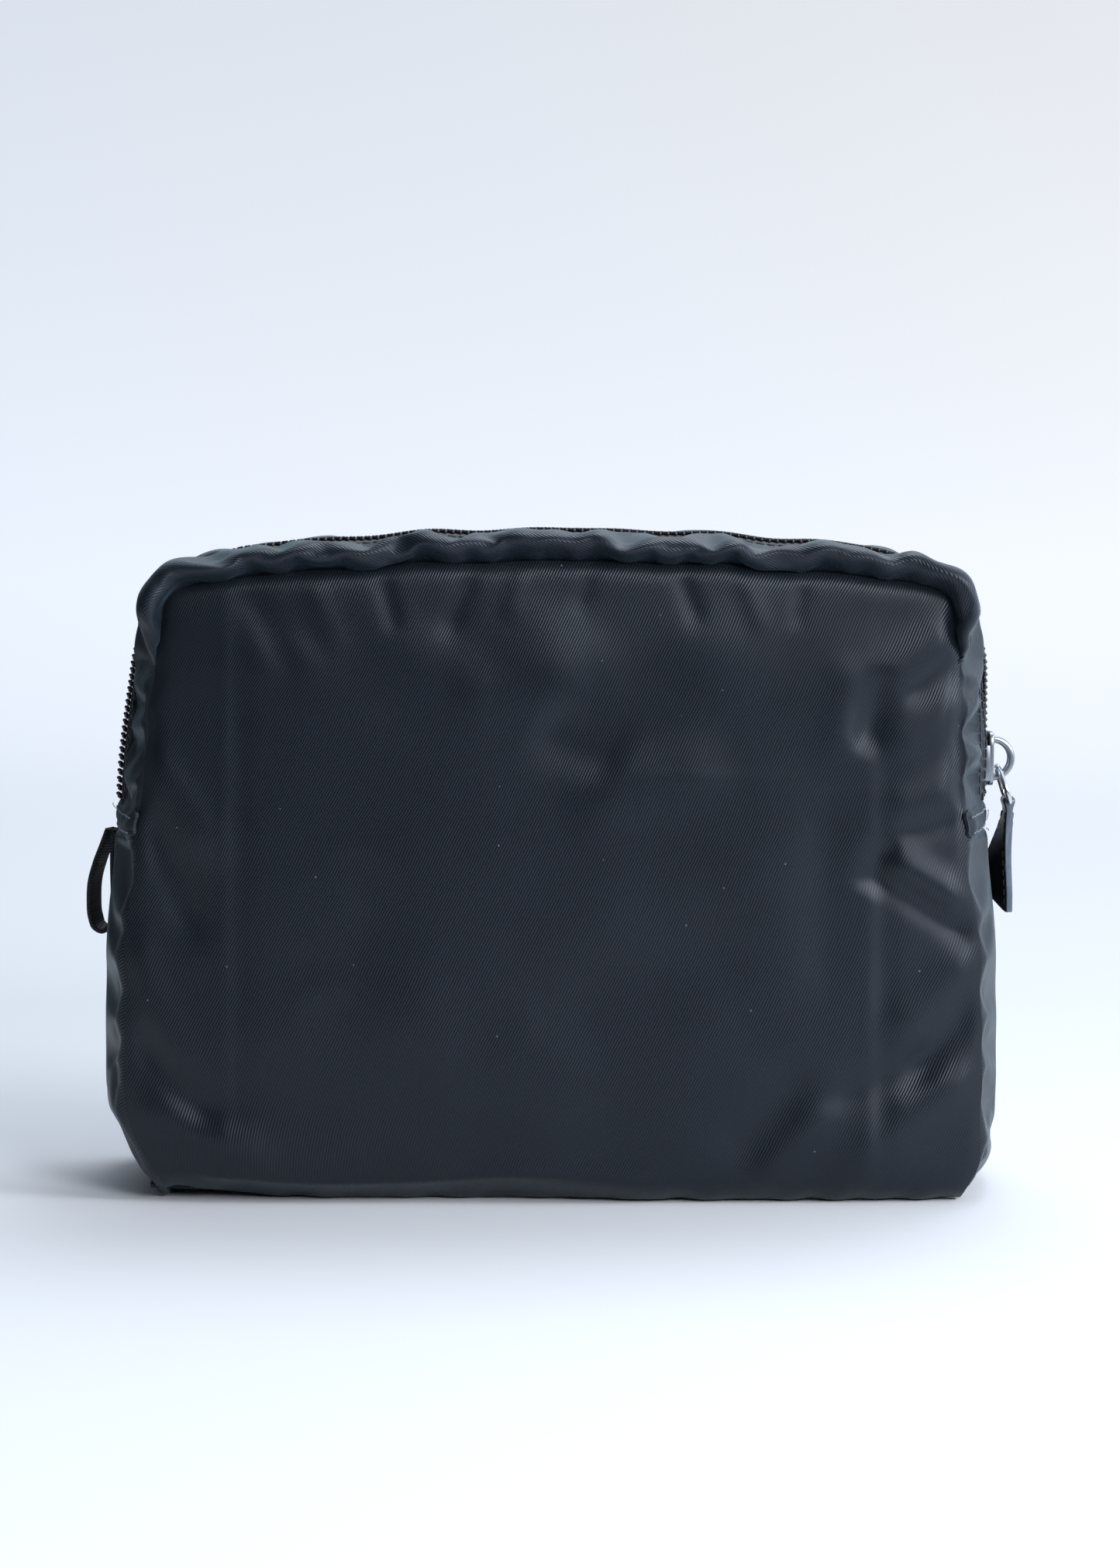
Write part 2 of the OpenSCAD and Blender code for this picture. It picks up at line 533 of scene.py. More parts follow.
class Made:
    """A node that has been added."""

    def __init__(self, paint: "Paint", node: bpy.types.Node) -> None:
        """Wraps a node.

        Args:
            paint: The material that the node is in.
            node: The node.
        """
        self.paint = paint
        self.node = node

    def out(self, name: str | int = 0) -> Value:
        """One of the node's outputs.

        Args:
            name: The output's name or number.

        Returns:
            Its value.
        """
        return Value(self.paint, self.node.outputs[name])


class Paint:
    """A material under construction."""

    def __init__(self, name: str) -> None:
        """Starts a material with one main shader.

        Args:
            name: The material's name.
        """
        self.material = bpy.data.materials.new(name)
        self.material.use_nodes = True
        self.tree = self.material.node_tree
        self.main = Made(self, self.tree.nodes["Principled BSDF"])

    def node(
        self, kind: str, settings: dict[str, Any] | None = None, sockets: dict[Any, Any] | None = None
    ) -> Made:
        """Adds a node.

        Args:
            kind: The node's type.
            settings: Its settings, where stops are a ramp's places and colours.
            sockets: Values or links, by the input's name or number.

        Returns:
            The node.
        """
        node = self.tree.nodes.new(kind)
        for name, setting in (settings or {}).items():
            if name == "stops":
                for i, (place, colour) in enumerate(setting):
                    stops = node.color_ramp.elements
                    stop = stops[i] if i < 2 else stops.new(place)
                    stop.position, stop.color = place, (*colour, 1.0)
            else:
                setattr(node, name, setting)
        made = Made(self, node)
        self.feed(made, sockets or {})
        return made

    def feed(self, made: Made, sockets: dict[Any, Any]) -> None:
        """Sets or links a node's inputs.

        Args:
            made: The node.
            sockets: Values or links, by the input's name or number.
        """
        for name, value in sockets.items():
            target = made.node.inputs[name]
            if isinstance(value, Value):
                self.tree.links.new(value.socket, target)
            elif isinstance(value, tuple) and len(value) == 3 and target.type == "RGBA":
                target.default_value = (*value, 1.0)
            else:
                target.default_value = value

    def place(self, kind: str = "Object") -> Value:
        """The place on the piece: Object for its own space, or UV for along the threads."""
        return self.node("ShaderNodeTexCoord").out(kind)

    def parts(self, place: Value) -> tuple[Value, Value, Value]:
        """The three numbers of a place."""
        split = self.node("ShaderNodeSeparateXYZ", None, {0: place})
        return split.out(0), split.out(1), split.out(2)

    def noise(self, place: Value, size: float, detail: float = 2.0) -> Value:
        """Cloudy noise from 0 to 1.

        Args:
            place: The place on the piece.
            size: Size of the clouds.
            detail: How much fine detail they have.

        Returns:
            The noise.
        """
        sockets = {"Vector": place, "Scale": 1.0 / size, "Detail": detail}
        return self.node("ShaderNodeTexNoise", None, sockets).out(0)

    def mix(self, share: Value, low: Triple, high: Triple) -> Value:
        """Mixes two colours.

        Args:
            share: How much of the second.
            low: The first colour.
            high: The second colour.

        Returns:
            The mixed colour.
        """
        settings = {"data_type": "RGBA", "clamp_factor": True}
        made = self.node("ShaderNodeMix", settings, {0: share})
        for i, colour in ((6, low), (7, high)):
            self.feed(made, {i: colour})
        return made.out(2)

    def bump(self, height: Value, depth: float, strength: float = 1.0) -> Value:
        """Turns a height into a bumpy normal.

        Args:
            height: The height, from 0 to 1.
            depth: The real depth of the bumps.
            strength: How much of it shows.

        Returns:
            The normal.
        """
        sockets = {"Height": height, "Distance": depth, "Strength": strength}
        return self.node("ShaderNodeBump", None, sockets).out()

    def finish(self, **sockets: Any) -> bpy.types.Material:
        """Feeds the main shader.

        Args:
            sockets: Its inputs, with _ for a space in a name.

        Returns:
            The finished material.
        """
        self.feed(self.main, {name.replace("_", " "): value for name, value in sockets.items()})
        return self.material


# Finishes


@dataclass(frozen=True)
class Twill:
    """Satin nylon twill, with steep ribs, a soft sheen and a little lint.

    Attributes:
        name: The material's name.
        dark: Colour between the ribs.
        light: Colour on top of the ribs.
        pitch: Distance from rib to rib.
        slope: Slope of the ribs in degrees.
        roughness: How matt it is.
        sheen: Strength of the sheen.
        lint: Share of the lint cells that hold a speck.
    """

    name: str = "twill"
    dark: Triple = (0.0028, 0.0042, 0.0070)
    light: Triple = (0.0090, 0.0136, 0.0212)
    pitch: float = 0.58 * MM
    slope: float = 64.0
    roughness: float = 0.37
    sheen: float = 0.12
    lint: float = 0.18

    def build(self) -> bpy.types.Material:
        """Builds the material.

        Returns:
            The material.
        """
        paint = Paint(self.name)
        uv = paint.place("UV")
        u, v, _ = paint.parts(uv)
        rise = math.radians(self.slope)
        drift = paint.noise(uv, 9 * MM) * (0.35 * MM)
        rib_line = u * math.sin(rise) - v * math.cos(rise) + drift
        thread_line = u * math.cos(rise) + v * math.sin(rise)
        ribs = rib_line.wave(self.pitch)
        threads = thread_line.wave(self.pitch * 0.62)
        weave = ribs * 0.75 + threads * ribs * 0.25
        cloud = paint.noise(uv, 24 * MM, 3.0)
        fuzz = paint.noise(uv, 0.9 * MM, 2.0)
        tone = weave * 0.55 + cloud * 0.35 + fuzz * 0.35 - 0.15
        cells = paint.node(
            "ShaderNodeTexVoronoi", {"feature": "F1"}, {"Vector": uv, "Scale": 1.0 / (4.5 * MM)}
        )
        chance, _, _ = paint.parts(cells.out("Color"))
        speck = cells.out("Distance").below(0.045) * chance.below(self.lint)
        cloth = paint.mix(tone, self.dark, self.light)
        dusty = paint.node("ShaderNodeMix", {"data_type": "RGBA"}, {0: speck * 0.55, 6: cloth})
        paint.feed(dusty, {7: (0.22, 0.24, 0.27)})
        return paint.finish(
            Base_Color=dusty.out(2),
            Roughness=cloud * 0.12 + (self.roughness - 0.06),
            Sheen_Weight=self.sheen,
            Sheen_Roughness=0.35,
            Sheen_Tint=(0.50, 0.86, 1.0),
            Specular_IOR_Level=0.36,
            Specular_Tint=(0.88, 0.92, 1.0, 1.0),
            Normal=paint.bump(weave + fuzz * 0.25, 0.07 * MM, 0.8),
        )


@dataclass(frozen=True)
class Ribbed:
    """Woven tape or ribbon, with straight ribs one way and fine threads the other.

    Attributes:
        name: The material's name.
        colour: Colour on top of the ribs.
        pitch: Distance from rib to rib.
        across: True for ribs across the tape, as on grosgrain.
        roughness: How matt it is.
    """

    name: str
    colour: Triple
    pitch: float
    across: bool
    roughness: float = 0.6

    def build(self) -> bpy.types.Material:
        """Builds the material.

        Returns:
            The material.
        """
        paint = Paint(self.name)
        uv = paint.place("UV")
        u, v, _ = paint.parts(uv)
        along, over = (u, v) if self.across else (v, u)
        ribs = along.wave(self.pitch)
        threads = over.wave(self.pitch * 0.45)
        weave = ribs * 0.7 + threads * 0.3
        worn = paint.noise(uv, 5 * MM, 3.0)
        shade = tuple(0.4 * c for c in self.colour)
        return paint.finish(
            Base_Color=paint.mix(weave * 0.8 + worn * 0.4 - 0.1, shade, self.colour),
            Roughness=worn * 0.15 + (self.roughness - 0.07),
            Sheen_Weight=0.05,
            Sheen_Roughness=0.4,
            Normal=paint.bump(weave, 0.12 * MM, 0.9),
        )


@dataclass(frozen=True)
class Plain:
    """Lining or thread: fine, soft and even.

    Attributes:
        name: The material's name.
        colour: Its colour.
        grain: Size of its grain.
        roughness: How matt it is.
    """

    name: str
    colour: Triple
    grain: float
    roughness: float = 0.65

    def build(self) -> bpy.types.Material:
        """Builds the material.

        Returns:
            The material.
        """
        paint = Paint(self.name)
        place = paint.place()
        grain = paint.noise(place, self.grain, 2.0)
        cloud = paint.noise(place, 18 * MM, 2.0)
        shade = tuple(0.55 * c for c in self.colour)
        return paint.finish(
            Base_Color=paint.mix(grain * 0.6 + cloud * 0.5, shade, self.colour),
            Roughness=grain * 0.2 + (self.roughness - 0.1),
            Sheen_Weight=0.05,
            Normal=paint.bump(grain, 0.08 * MM, 0.8),
        )


@dataclass(frozen=True)
class Nylon:
    """The zip's coil of smooth nylon monofilament."""

    name: str = "nylon_coil"
    colour: Triple = (0.016, 0.017, 0.022)

    def build(self) -> bpy.types.Material:
        """Builds the material.

        Returns:
            The material.
        """
        paint = Paint(self.name)
        place = paint.place()
        dust = paint.noise(place, 1.3 * MM, 3.0)
        return paint.finish(
            Base_Color=paint.mix(dust, (0.008, 0.008, 0.011), self.colour),
            Roughness=dust * 0.25 + 0.28,
            Specular_IOR_Level=0.6,
            Normal=paint.bump(dust, 0.03 * MM, 0.5),
        )


@dataclass(frozen=True)
class Nickel:
    """Polished metal with fine scratches and duller worn patches.

    Attributes:
        name: The material's name.
        colour: The metal's colour.
        roughness: How dull it is.
    """

    name: str
    colour: Triple = (0.62, 0.63, 0.66)
    roughness: float = 0.2

    def build(self) -> bpy.types.Material:
        """Builds the material.

        Returns:
            The material.
        """
        paint = Paint(self.name)
        place = paint.place()
        worn = paint.noise(place, 1.6 * MM, 4.0)
        stretched = paint.node("ShaderNodeMapping", None, {"Vector": place, "Scale": (9.0, 9.0, 0.7)})
        scratches = paint.noise(stretched.out(), 0.9 * MM, 2.0)
        tarnish = tuple(0.72 * c for c in self.colour)
        return paint.finish(
            Base_Color=paint.mix(worn * 1.4 - 0.25, self.colour, tarnish),
            Metallic=1.0,
            Roughness=worn * 0.16 + scratches * 0.1 + (self.roughness - 0.12),
            Normal=paint.bump(scratches, 0.01 * MM, 0.5),
        )


@dataclass(frozen=True)
class Leather:
    """Polished leather, with a fine grain and duller handled patches.

    Attributes:
        name: The material's name.
        colour: Its colour.
        roughness: How dull the polish is.
        grain: Depth of the grain.
    """

    name: str
    colour: Triple
    roughness: float
    grain: float

    def build(self) -> bpy.types.Material:
        """Builds the material.

        Returns:
            The material.
        """
        paint = Paint(self.name)
        place = paint.place()
        cells = paint.node(
            "ShaderNodeTexVoronoi", {"feature": "F1"}, {"Vector": place, "Scale": 1.0 / (0.55 * MM)}
        )
        creases = paint.noise(place, 1.8 * MM, 4.0)
        handled = paint.noise(place, 6 * MM, 2.0)
        height = cells.out("Distance") * 0.6 + creases * 0.4
        pale = tuple(1.9 * c for c in self.colour)
        return paint.finish(
            Base_Color=paint.mix(creases * 0.5 + handled * 0.5, self.colour, pale),
            Roughness=handled * 0.2 + creases * 0.08 + (self.roughness - 0.12),
            Coat_Weight=0.35,
            Coat_Roughness=0.18,
            Normal=paint.bump(height, self.grain, 0.7),
        )


@dataclass(frozen=True)
class Backdrop:
    """The pale floor that sweeps up behind, with a painted glow far behind the bag that is brighter at the
    right, and painted shade on the floor in front of the bag, from about 0.43 m out.
    """

    name: str = "backdrop"
    colour: Triple = (0.80, 0.81, 0.83)
    # The next two colours are the painted glow's, at the left and at the right; the last is the colour of
    # the painted shade.
    painted_glow_left: Triple = (0.30, 0.32, 0.35)
    bright: Triple = (0.56, 0.55, 0.54)
    shade: Triple = (0.08, 0.09, 0.11)

    def build(self) -> bpy.types.Material:
        """Builds the material.

        Returns:
            The material.
        """
        paint = Paint(self.name)
        place = paint.place()
        x, y, _ = paint.parts(place)
        cloud = paint.noise(place, 0.6, 1.0)
        pale = tuple(0.98 * c for c in self.colour)
        # Painted glow: behind the bag the floor and sweep give off light of their own, rising towards the
        # rear and brighter towards the right.
        glow = paint.mix(x * 0.7 + 0.5, self.painted_glow_left, self.bright)
        far = paint.node("ShaderNodeMix", {"data_type": "RGBA"}, {0: (y - 0.3) * 0.7, 7: glow})
        paint.feed(far, {6: (0.0, 0.0, 0.0)})
        base = paint.mix(cloud, pale, self.colour)
        # Painted shade: in front of the bag, from about 0.43 m out, the floor's colour turns to the dark
        # shade colour.
        near = paint.node("ShaderNodeMix", {"data_type": "RGBA"}, {0: y * -3.0 - 1.3, 6: base})
        paint.feed(near, {7: self.shade})
        return paint.finish(
            Base_Color=near.out(2),
            Roughness=0.85,
            # The emission is the painted glow.
            Emission_Color=far.out(2),
            Emission_Strength=1.0,
        )


class Finish(Enum):
    """The finishes of the bag, each built once."""

    PANEL = Twill()
    # Painted light: this twill is a paler copy of the panel's, so that the sides and the roll look as
    # bright as cloth lit from the window.
    GUSSET = Twill(
        "crossed_twill", (0.0045, 0.0066, 0.0102), (0.0150, 0.0205, 0.0300), slope=-38.0, lint=0.05
    )
    BINDING = Twill(name="tab_twill", slope=20.0, lint=0.0, roughness=0.55)
    LINING = Plain("lining_cloth", (0.016, 0.016, 0.019), 0.5 * MM)
    TAPE = Ribbed("zip_tape_weave", (0.014, 0.016, 0.021), 1.1 * MM, across=False)
    GROSGRAIN = Ribbed("grosgrain", (0.009, 0.009, 0.012), 0.8 * MM, across=True)
    COIL = Nylon()
    THREAD = Plain("dark_thread", (0.018, 0.020, 0.027), 0.25 * MM, 0.55)
    LOOSE_THREAD = Plain("pale_thread", (0.20, 0.22, 0.27), 0.25 * MM, 0.6)
    # Painted shade: the slider's nickel is a darker copy of the link wire's nickel, darkened to stand for
    # shade.
    METAL = Nickel("nickel", (0.36, 0.39, 0.43), 0.3)
    WIRE = Nickel("nickel_wire", (0.74, 0.75, 0.78), 0.16)
    LEATHER = Leather("black_leather", (0.006, 0.006, 0.007), 0.26, 0.03 * MM)
    # Partly painted highlight: the painted edges are lighter and bluer than the leather, and lightened
    # further to stand for their gloss.
    EDGE = Leather("edge_paint", (0.050, 0.066, 0.090), 0.26, 0.02 * MM)
    FLOOR = Backdrop()

    def material(self) -> bpy.types.Material:
        """The finish's material, built when it is first asked for."""
        return bpy.data.materials.get(self.value.name) or self.value.build()


def hand_over(
    piece: bpy.types.Object,
    finish: Finish,
    slot: str,
    *stands_for: str,
    body: Body | None = None,
) -> bpy.types.Object:
    """Dresses a piece, says which CAD nodes it stands for, and ties it to its body.

    Args:
        piece: The finished mesh.
        finish: Its finish.
        slot: The record's material slot; not used.
        stands_for: The CAD nodes that it replaces.
        body: The body that it rides on, or None for cloth that crosses the lip's fold.

    Returns:
        The piece.
    """
    if not piece.data.materials:
        piece.data.materials.append(finish.material())
    if body is None:
        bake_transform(piece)
    else:
        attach(piece, body.value)
    if stands_for:
        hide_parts(*stands_for)
    LOG.info("%s: %d vertices", piece.name, len(piece.data.vertices))
    return piece


# The bag's form

# Depth of the panels' seams from mid-depth
SEAM_DEPTH = 33 * MM


@dataclass(frozen=True)
class BagForm:
    """The shape of the stuffed bag, which all its cloth follows.

    Attributes:
        half_w: Half the width.
        half_d: Half the depth.
        top: Height of the gusset.
        zip_end: Height at which the zip gusset ends.
        fold: Height of the front lip's fold; not used.
        corner_r: Radius of the zip's way round the top corners.
        corner_power: How square the panels' top corners are, where 2 is round.
        seam_top: Drop from the gusset to the panel's top seam.
        seam_side: Distance from the gusset in to the panel's side seam.
        fold_below: Length of cloth below the fold; not used.
        fold_above: Length of cloth above the fold; not used.
        slope: How rounded the side is beside the zip, where 1 is straight.
        droop: How far the top droops at the droop's reach from the middle.
        droop_reach: See droop.
        lean_left: Share by which the left side leans in at the top.
        lean_right: Share by which the right side leans in at the top.
        drawn_left: How far the lower left corner draws in.
        drawn_right: How far the lower right corner draws in.
        ridge_height: How far the cloth beside the slider puffs out.
    """

    half_w: float
    half_d: float
    top: float
    zip_end: float
    fold: float
    corner_r: float = 26 * MM
    corner_power: float = 5.5
    seam_top: float = 6.2 * MM
    seam_side: float = 8.2 * MM
    fold_below: float = 16 * MM
    fold_above: float = 18 * MM
    slope: float = 1.4
    droop: float = 2.9 * MM
    droop_reach: float = 62 * MM
    lean_left: float = 0.046
    lean_right: float = 0.009
    drawn_left: float = 9 * MM
    drawn_right: float = 5 * MM
    ridge_height: float = 1.9 * MM

    @classmethod
    def from_frame(cls) -> "BagForm":
        """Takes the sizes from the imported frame.

        Returns:
            The form.
        """
        _, base_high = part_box("base_panel")
        gusset_low, gusset_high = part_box("zip_gusset_rear")
        lip_low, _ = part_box("front_panel_upper")
        return cls(base_high.x, base_high.y, gusset_high.z, gusset_low.z, lip_low.z)

    @property
    def straight(self) -> float:
        """Length of the zip's upright stretch at each end."""
        return self.top - self.corner_r - self.zip_end

    @property
    def length(self) -> float:
        """Length of the zip's way round the bag."""
        return 2 * self.straight + math.pi * self.corner_r + 2 * (self.half_w - self.corner_r)

    def outline(self, travel: Array, inset: Array, depth: Array) -> tuple[Array, Array]:
        """A place on the way round the top, with tighter corners near the panels than at the zip.

        Args:
            travel: Distance along the way from the left end, which may be below 0 or past the end.
            inset: Distance in from the gusset, less at the sides than at the top.
            depth: Distance from mid-depth.

        Returns:
            X and Z.
        """
        r, flat = self.corner_r, self.half_w - self.corner_r
        arc = math.pi / 2 * r
        first, second = self.straight, self.straight + arc
        third, fourth = second + 2 * flat, second + 2 * flat + arc
        turn = np.clip((travel - first) / arc, 0, 1) + np.clip((travel - third) / arc, 0, 1)
        angle = math.pi - turn * math.pi / 2
        slide = np.clip(travel - second, 0, 2 * flat) - flat
        down = np.minimum(travel - first, 0) + np.minimum(fourth - travel, 0)
        power = 2.0 + (self.corner_power - 2.0) * smooth(14 * MM, 30 * MM, np.abs(depth))
        inset = inset + self.dome(travel, depth)
        cos, sin = np.cos(angle), np.sin(angle)
        reach = (np.abs(cos) ** power + np.abs(sin) ** power) ** (-1.0 / power)
        x = slide + (r - inset * self.seam_side / self.seam_top) * cos * reach
        z = self.top - r + (r - inset) * sin * reach + down
        return self.sag(x + self.ridge(travel, depth), z)

    def from_end(self, travel: Array) -> Array:
        """Distance along the way from its nearer end."""
        return np.minimum(travel, self.length - travel)

    def rolls_over(self, travel: Array) -> Array:
        """Share by which the zip gusset is a roll, from 0 at the ends of the way."""
        return smooth(34 * MM, 56 * MM, self.from_end(travel))

    def dome(self, travel: Array, depth: Array) -> Array:
        """How far the cloth slopes in from the zip towards the panels, on the upright stretches.

        Args:
            travel: Distance along the way from the left end.
            depth: Distance from mid-depth.

        Returns:
            The extra inset.
        """
        upright = smooth(self.straight + 24 * MM, self.straight - 2 * MM, self.from_end(travel))
        return upright * self.seam_top * (np.abs(depth) / SEAM_DEPTH) ** self.slope

    def ridge(self, travel: Array, depth: Array) -> Array:
        """How far the cloth beside the slider puffs out, past the slider's inner plate.

        Args:
            travel: Distance along the way from the left end.
            depth: Distance from mid-depth.

        Returns:
            The puff.
        """
        near = hump(self.length - 17 * MM, 13 * MM, travel)
        return self.ridge_height * near * hump(10.5 * MM, 4.2 * MM, np.abs(depth))

    def sag(self, x: Array, z: Array) -> tuple[Array, Array]:
        """Lets the top corners droop and the sides lean in towards the top, more so on the left.

        Args:
            x: X before.
            z: Z before.

        Returns:
            X and Z after.
        """
        droop = self.droop * (x / self.droop_reach) ** 2 * smooth(92 * MM, self.top, z)
        droop = droop + 0.55 * MM * ripple(91, x, 14 * MM, 36 * MM) * smooth(118 * MM, 136 * MM, z)
        left = self.lean_left * smooth(84 * MM, 138 * MM, z)
        right = self.lean_right * smooth(116 * MM, 146 * MM, z)
        inward = np.where(x < 0, left, right)
        lean = 1.0 + np.where(x < 0, -0.008, 0.002) * smooth(80 * MM, 45 * MM, z) - inward
        return x * lean, z - droop

    def seam_x(self, z: Array) -> Array:
        """Half-width of the panel's side seam, before the cloth sags.

        Args:
            z: Height.

        Returns:
            X of the seam on the right.
        """
        low = smooth(98 * MM, 45 * MM, z) * 5.0 * MM
        uneven = 0.35 * MM * ripple(92, z, 14 * MM, 34 * MM)
        return self.half_w - self.seam_side + low + uneven

    def corner_in(self, side: Array, z: Array) -> Array:
        """How far a bottom corner draws in.

        Args:
            side: Below 0 on the left, and above 0 on the right.
            z: Height.

        Returns:
            The distance.
        """
        left = self.drawn_left * smooth(22 * MM, -2 * MM, z)
        right = self.drawn_right * smooth(10 * MM, -2 * MM, z)
        return np.where(side < 0, left, right)

    def side_x(self, share: Array, z: Array) -> Array:
        """X of the bag's side before it sags.

        Args:
            share: Depth as a share, from -1 at the front seam to 1 at the rear seam.
            z: Height.

        Returns:
            How far out the side stands.
        """
        seam = self.seam_x(z)
        swell = 0.6 * MM * hump(28 * MM, 34 * MM, z) - 0.9 * MM * hump(73 * MM, 9 * MM, z)
        middle = self.half_w + swell
        power = self.slope + 1.4 * smooth(86 * MM, 68 * MM, z)
        return seam + (middle - seam) * (1.0 - np.abs(share) ** power)

    def place_at(self, travel: float, inset: float, depth: float) -> Matrix:
        """A place on the way round the top.

        Args:
            travel: Distance along the way from the left end.
            inset: Distance in from the gusset.
            depth: Y of the place.

        Returns:
            Axes at the place, with X along the zip, Y to the rear and Z outwards.
        """
        step = 0.1 * MM
        x, z = self.outline(travel + np.array([-step, 0.0, step]), np.full(3, inset), np.full(3, depth))
        along = Vector((x[2] - x[0], 0.0, z[2] - z[0])).normalized()
        rear = Vector((0.0, 1.0, 0.0))
        axes = Matrix((along, rear, along.cross(rear))).transposed().to_4x4()
        axes.translation = (x[1], depth, z[1])
        return axes


FORM = BagForm.from_frame()


@dataclass(frozen=True)
class Fold:
    """A soft ridge or a hollow in a panel, between two points seen from the front.

    Attributes:
        start: X and Z of one end.
        end: X and Z of the other end.
        width: Distance over which it fades.
        height: Height of the ridge, or below 0 for a hollow.
    """

    start: Pair
    end: Pair
    width: float
    height: float

    def rise(self, x: Array, z: Array) -> Array:
        """How far it lifts the cloth.

        Args:
            x: X of the cloth.
            z: Z of the cloth.

        Returns:
            The lift, outwards.
        """
        (x0, z0), (x1, z1) = self.start, self.end
        dx, dz = x1 - x0, z1 - z0
        length = math.hypot(dx, dz)
        along = ((x - x0) * dx + (z - z0) * dz) / length**2
        aside = ((x - x0) * dz - (z - z0) * dx) / length
        ends = smooth(-0.18, 0.22, along) * smooth(1.18, 0.78, along)
        return self.height * ends * np.exp(-((aside / self.width) ** 2))


def fold_mm(x0: float, z0: float, x1: float, z1: float, width: float, height: float) -> Fold:
    """A fold in millimetres.

    Args:
        x0: X of one end.
        z0: Z of one end.
        x1: X of the other end.
        z1: Z of the other end.
        width: Distance over which it fades.
        height: Its height.

    Returns:
        The fold.
    """
    return Fold((x0 * MM, z0 * MM), (x1 * MM, z1 * MM), width * MM, height * MM)


FRONT_FOLDS = (
    fold_mm(-72, 8, -71, 132, 1.1, 0.22),
    fold_mm(-69, 8, -68, 132, 2.6, -0.35),
    fold_mm(70, 2, 70, 100, 1.1, 0.22),
    fold_mm(73, 4, 73, 98, 2.6, -0.4),
    fold_mm(20, 95, 66, 94, 1.4, 0.2),
    fold_mm(72, 117, 69, 101, 3.2, -1.5),
    fold_mm(65, 120, 63, 100, 4, 0.6),
    fold_mm(89, 129, 70, 112, 5, 1.3),
    fold_mm(91, 113, 75, 100, 5, 1.0),
    fold_mm(92, 122, 78, 112, 3, -0.9),
    fold_mm(92, 94, 74, 87, 5, 1.0),
    fold_mm(91, 86, 76, 82, 3, -0.8),
    fold_mm(73, 80, 70, 70, 3.4, -1.5),
    fold_mm(73, 78, 92, 66, 4, 1.3),
    fold_mm(74, 71, 93, 59, 3, -1.0),
    fold_mm(93, 56, 76, 38, 5, 1.2),
    fold_mm(60, 92, 60, 46, 6, -0.8),
    fold_mm(94, 46, 78, 26, 4, -1.2),
    fold_mm(92, 30, 66, 8, 5, 1.5),
    fold_mm(86, 34, 60, 22, 4, -1.0),
    fold_mm(62, 24, 46, 6, 4, 0.9),
    fold_mm(56, 30, 40, 10, 6, -1.0),
    fold_mm(-2, 106, 14, 97, 7, -1.1),
    fold_mm(-20, 113, 6, 115, 7, 0.8),
    fold_mm(6, 90, 36, 97, 8, 0.9),
    fold_mm(-92, 106, -74, 78, 5, 1.2),
    fold_mm(-90, 88, -78, 60, 4, -1.2),
    fold_mm(-94, 62, -80, 26, 5, 1.2),
    fold_mm(-92, 38, -74, 18, 4, -1.4),
    fold_mm(-90, 22, -64, 11, 5, 1.1),
    fold_mm(-70, 26, -30, 14, 9, -0.8),
    fold_mm(-40, 46, 6, 22, 14, 1.1),
    fold_mm(0, 40, 44, 60, 12, -1.0),
    fold_mm(-12, 7, 26, 2, 4, 1.2),
    fold_mm(-66, 135, -56, 116, 3.2, -0.5),
    fold_mm(-52, 137, -46, 122, 2.6, 0.3),
    fold_mm(-37, 139, -34, 127, 1.8, -0.5),
    fold_mm(-17, 140, -23, 126, 2.4, -0.5),
    fold_mm(-6, 140, -9, 130, 2.0, 0.3),
    fold_mm(9, 141, 6, 131, 1.8, -0.3),
    fold_mm(28, 140, 32, 128, 1.9, -0.5),
    fold_mm(42, 139, 46, 127, 2.0, 0.3),
    fold_mm(55, 137, 53, 128, 1.6, -0.35),
)

REAR_FOLDS = (
    fold_mm(-70, 10, -69, 130, 1.6, 0.4),
    fold_mm(64, 8, 65, 120, 1.8, 0.4),
    fold_mm(-92, 110, -56, 84, 6, 1.3),
    fold_mm(-90, 84, -58, 62, 5, -1.2),
    fold_mm(-88, 40, -52, 18, 7, 1.2),
    fold_mm(90, 96, 54, 104, 6, -1.1),
    fold_mm(92, 70, 62, 44, 6, 1.3),
    fold_mm(88, 30, 54, 12, 5, -1.0),
    fold_mm(-10, 60, 30, 84, 14, 1.1),
    fold_mm(-34, 104, 4, 96, 9, -1.2),
    fold_mm(-44, 136, -36, 120, 2.8, -0.9),
    fold_mm(-8, 138, -2, 124, 2.6, -0.8),
    fold_mm(28, 138, 20, 120, 3.0, -1.0),
    fold_mm(58, 134, 50, 118, 3.0, 0.8),
)


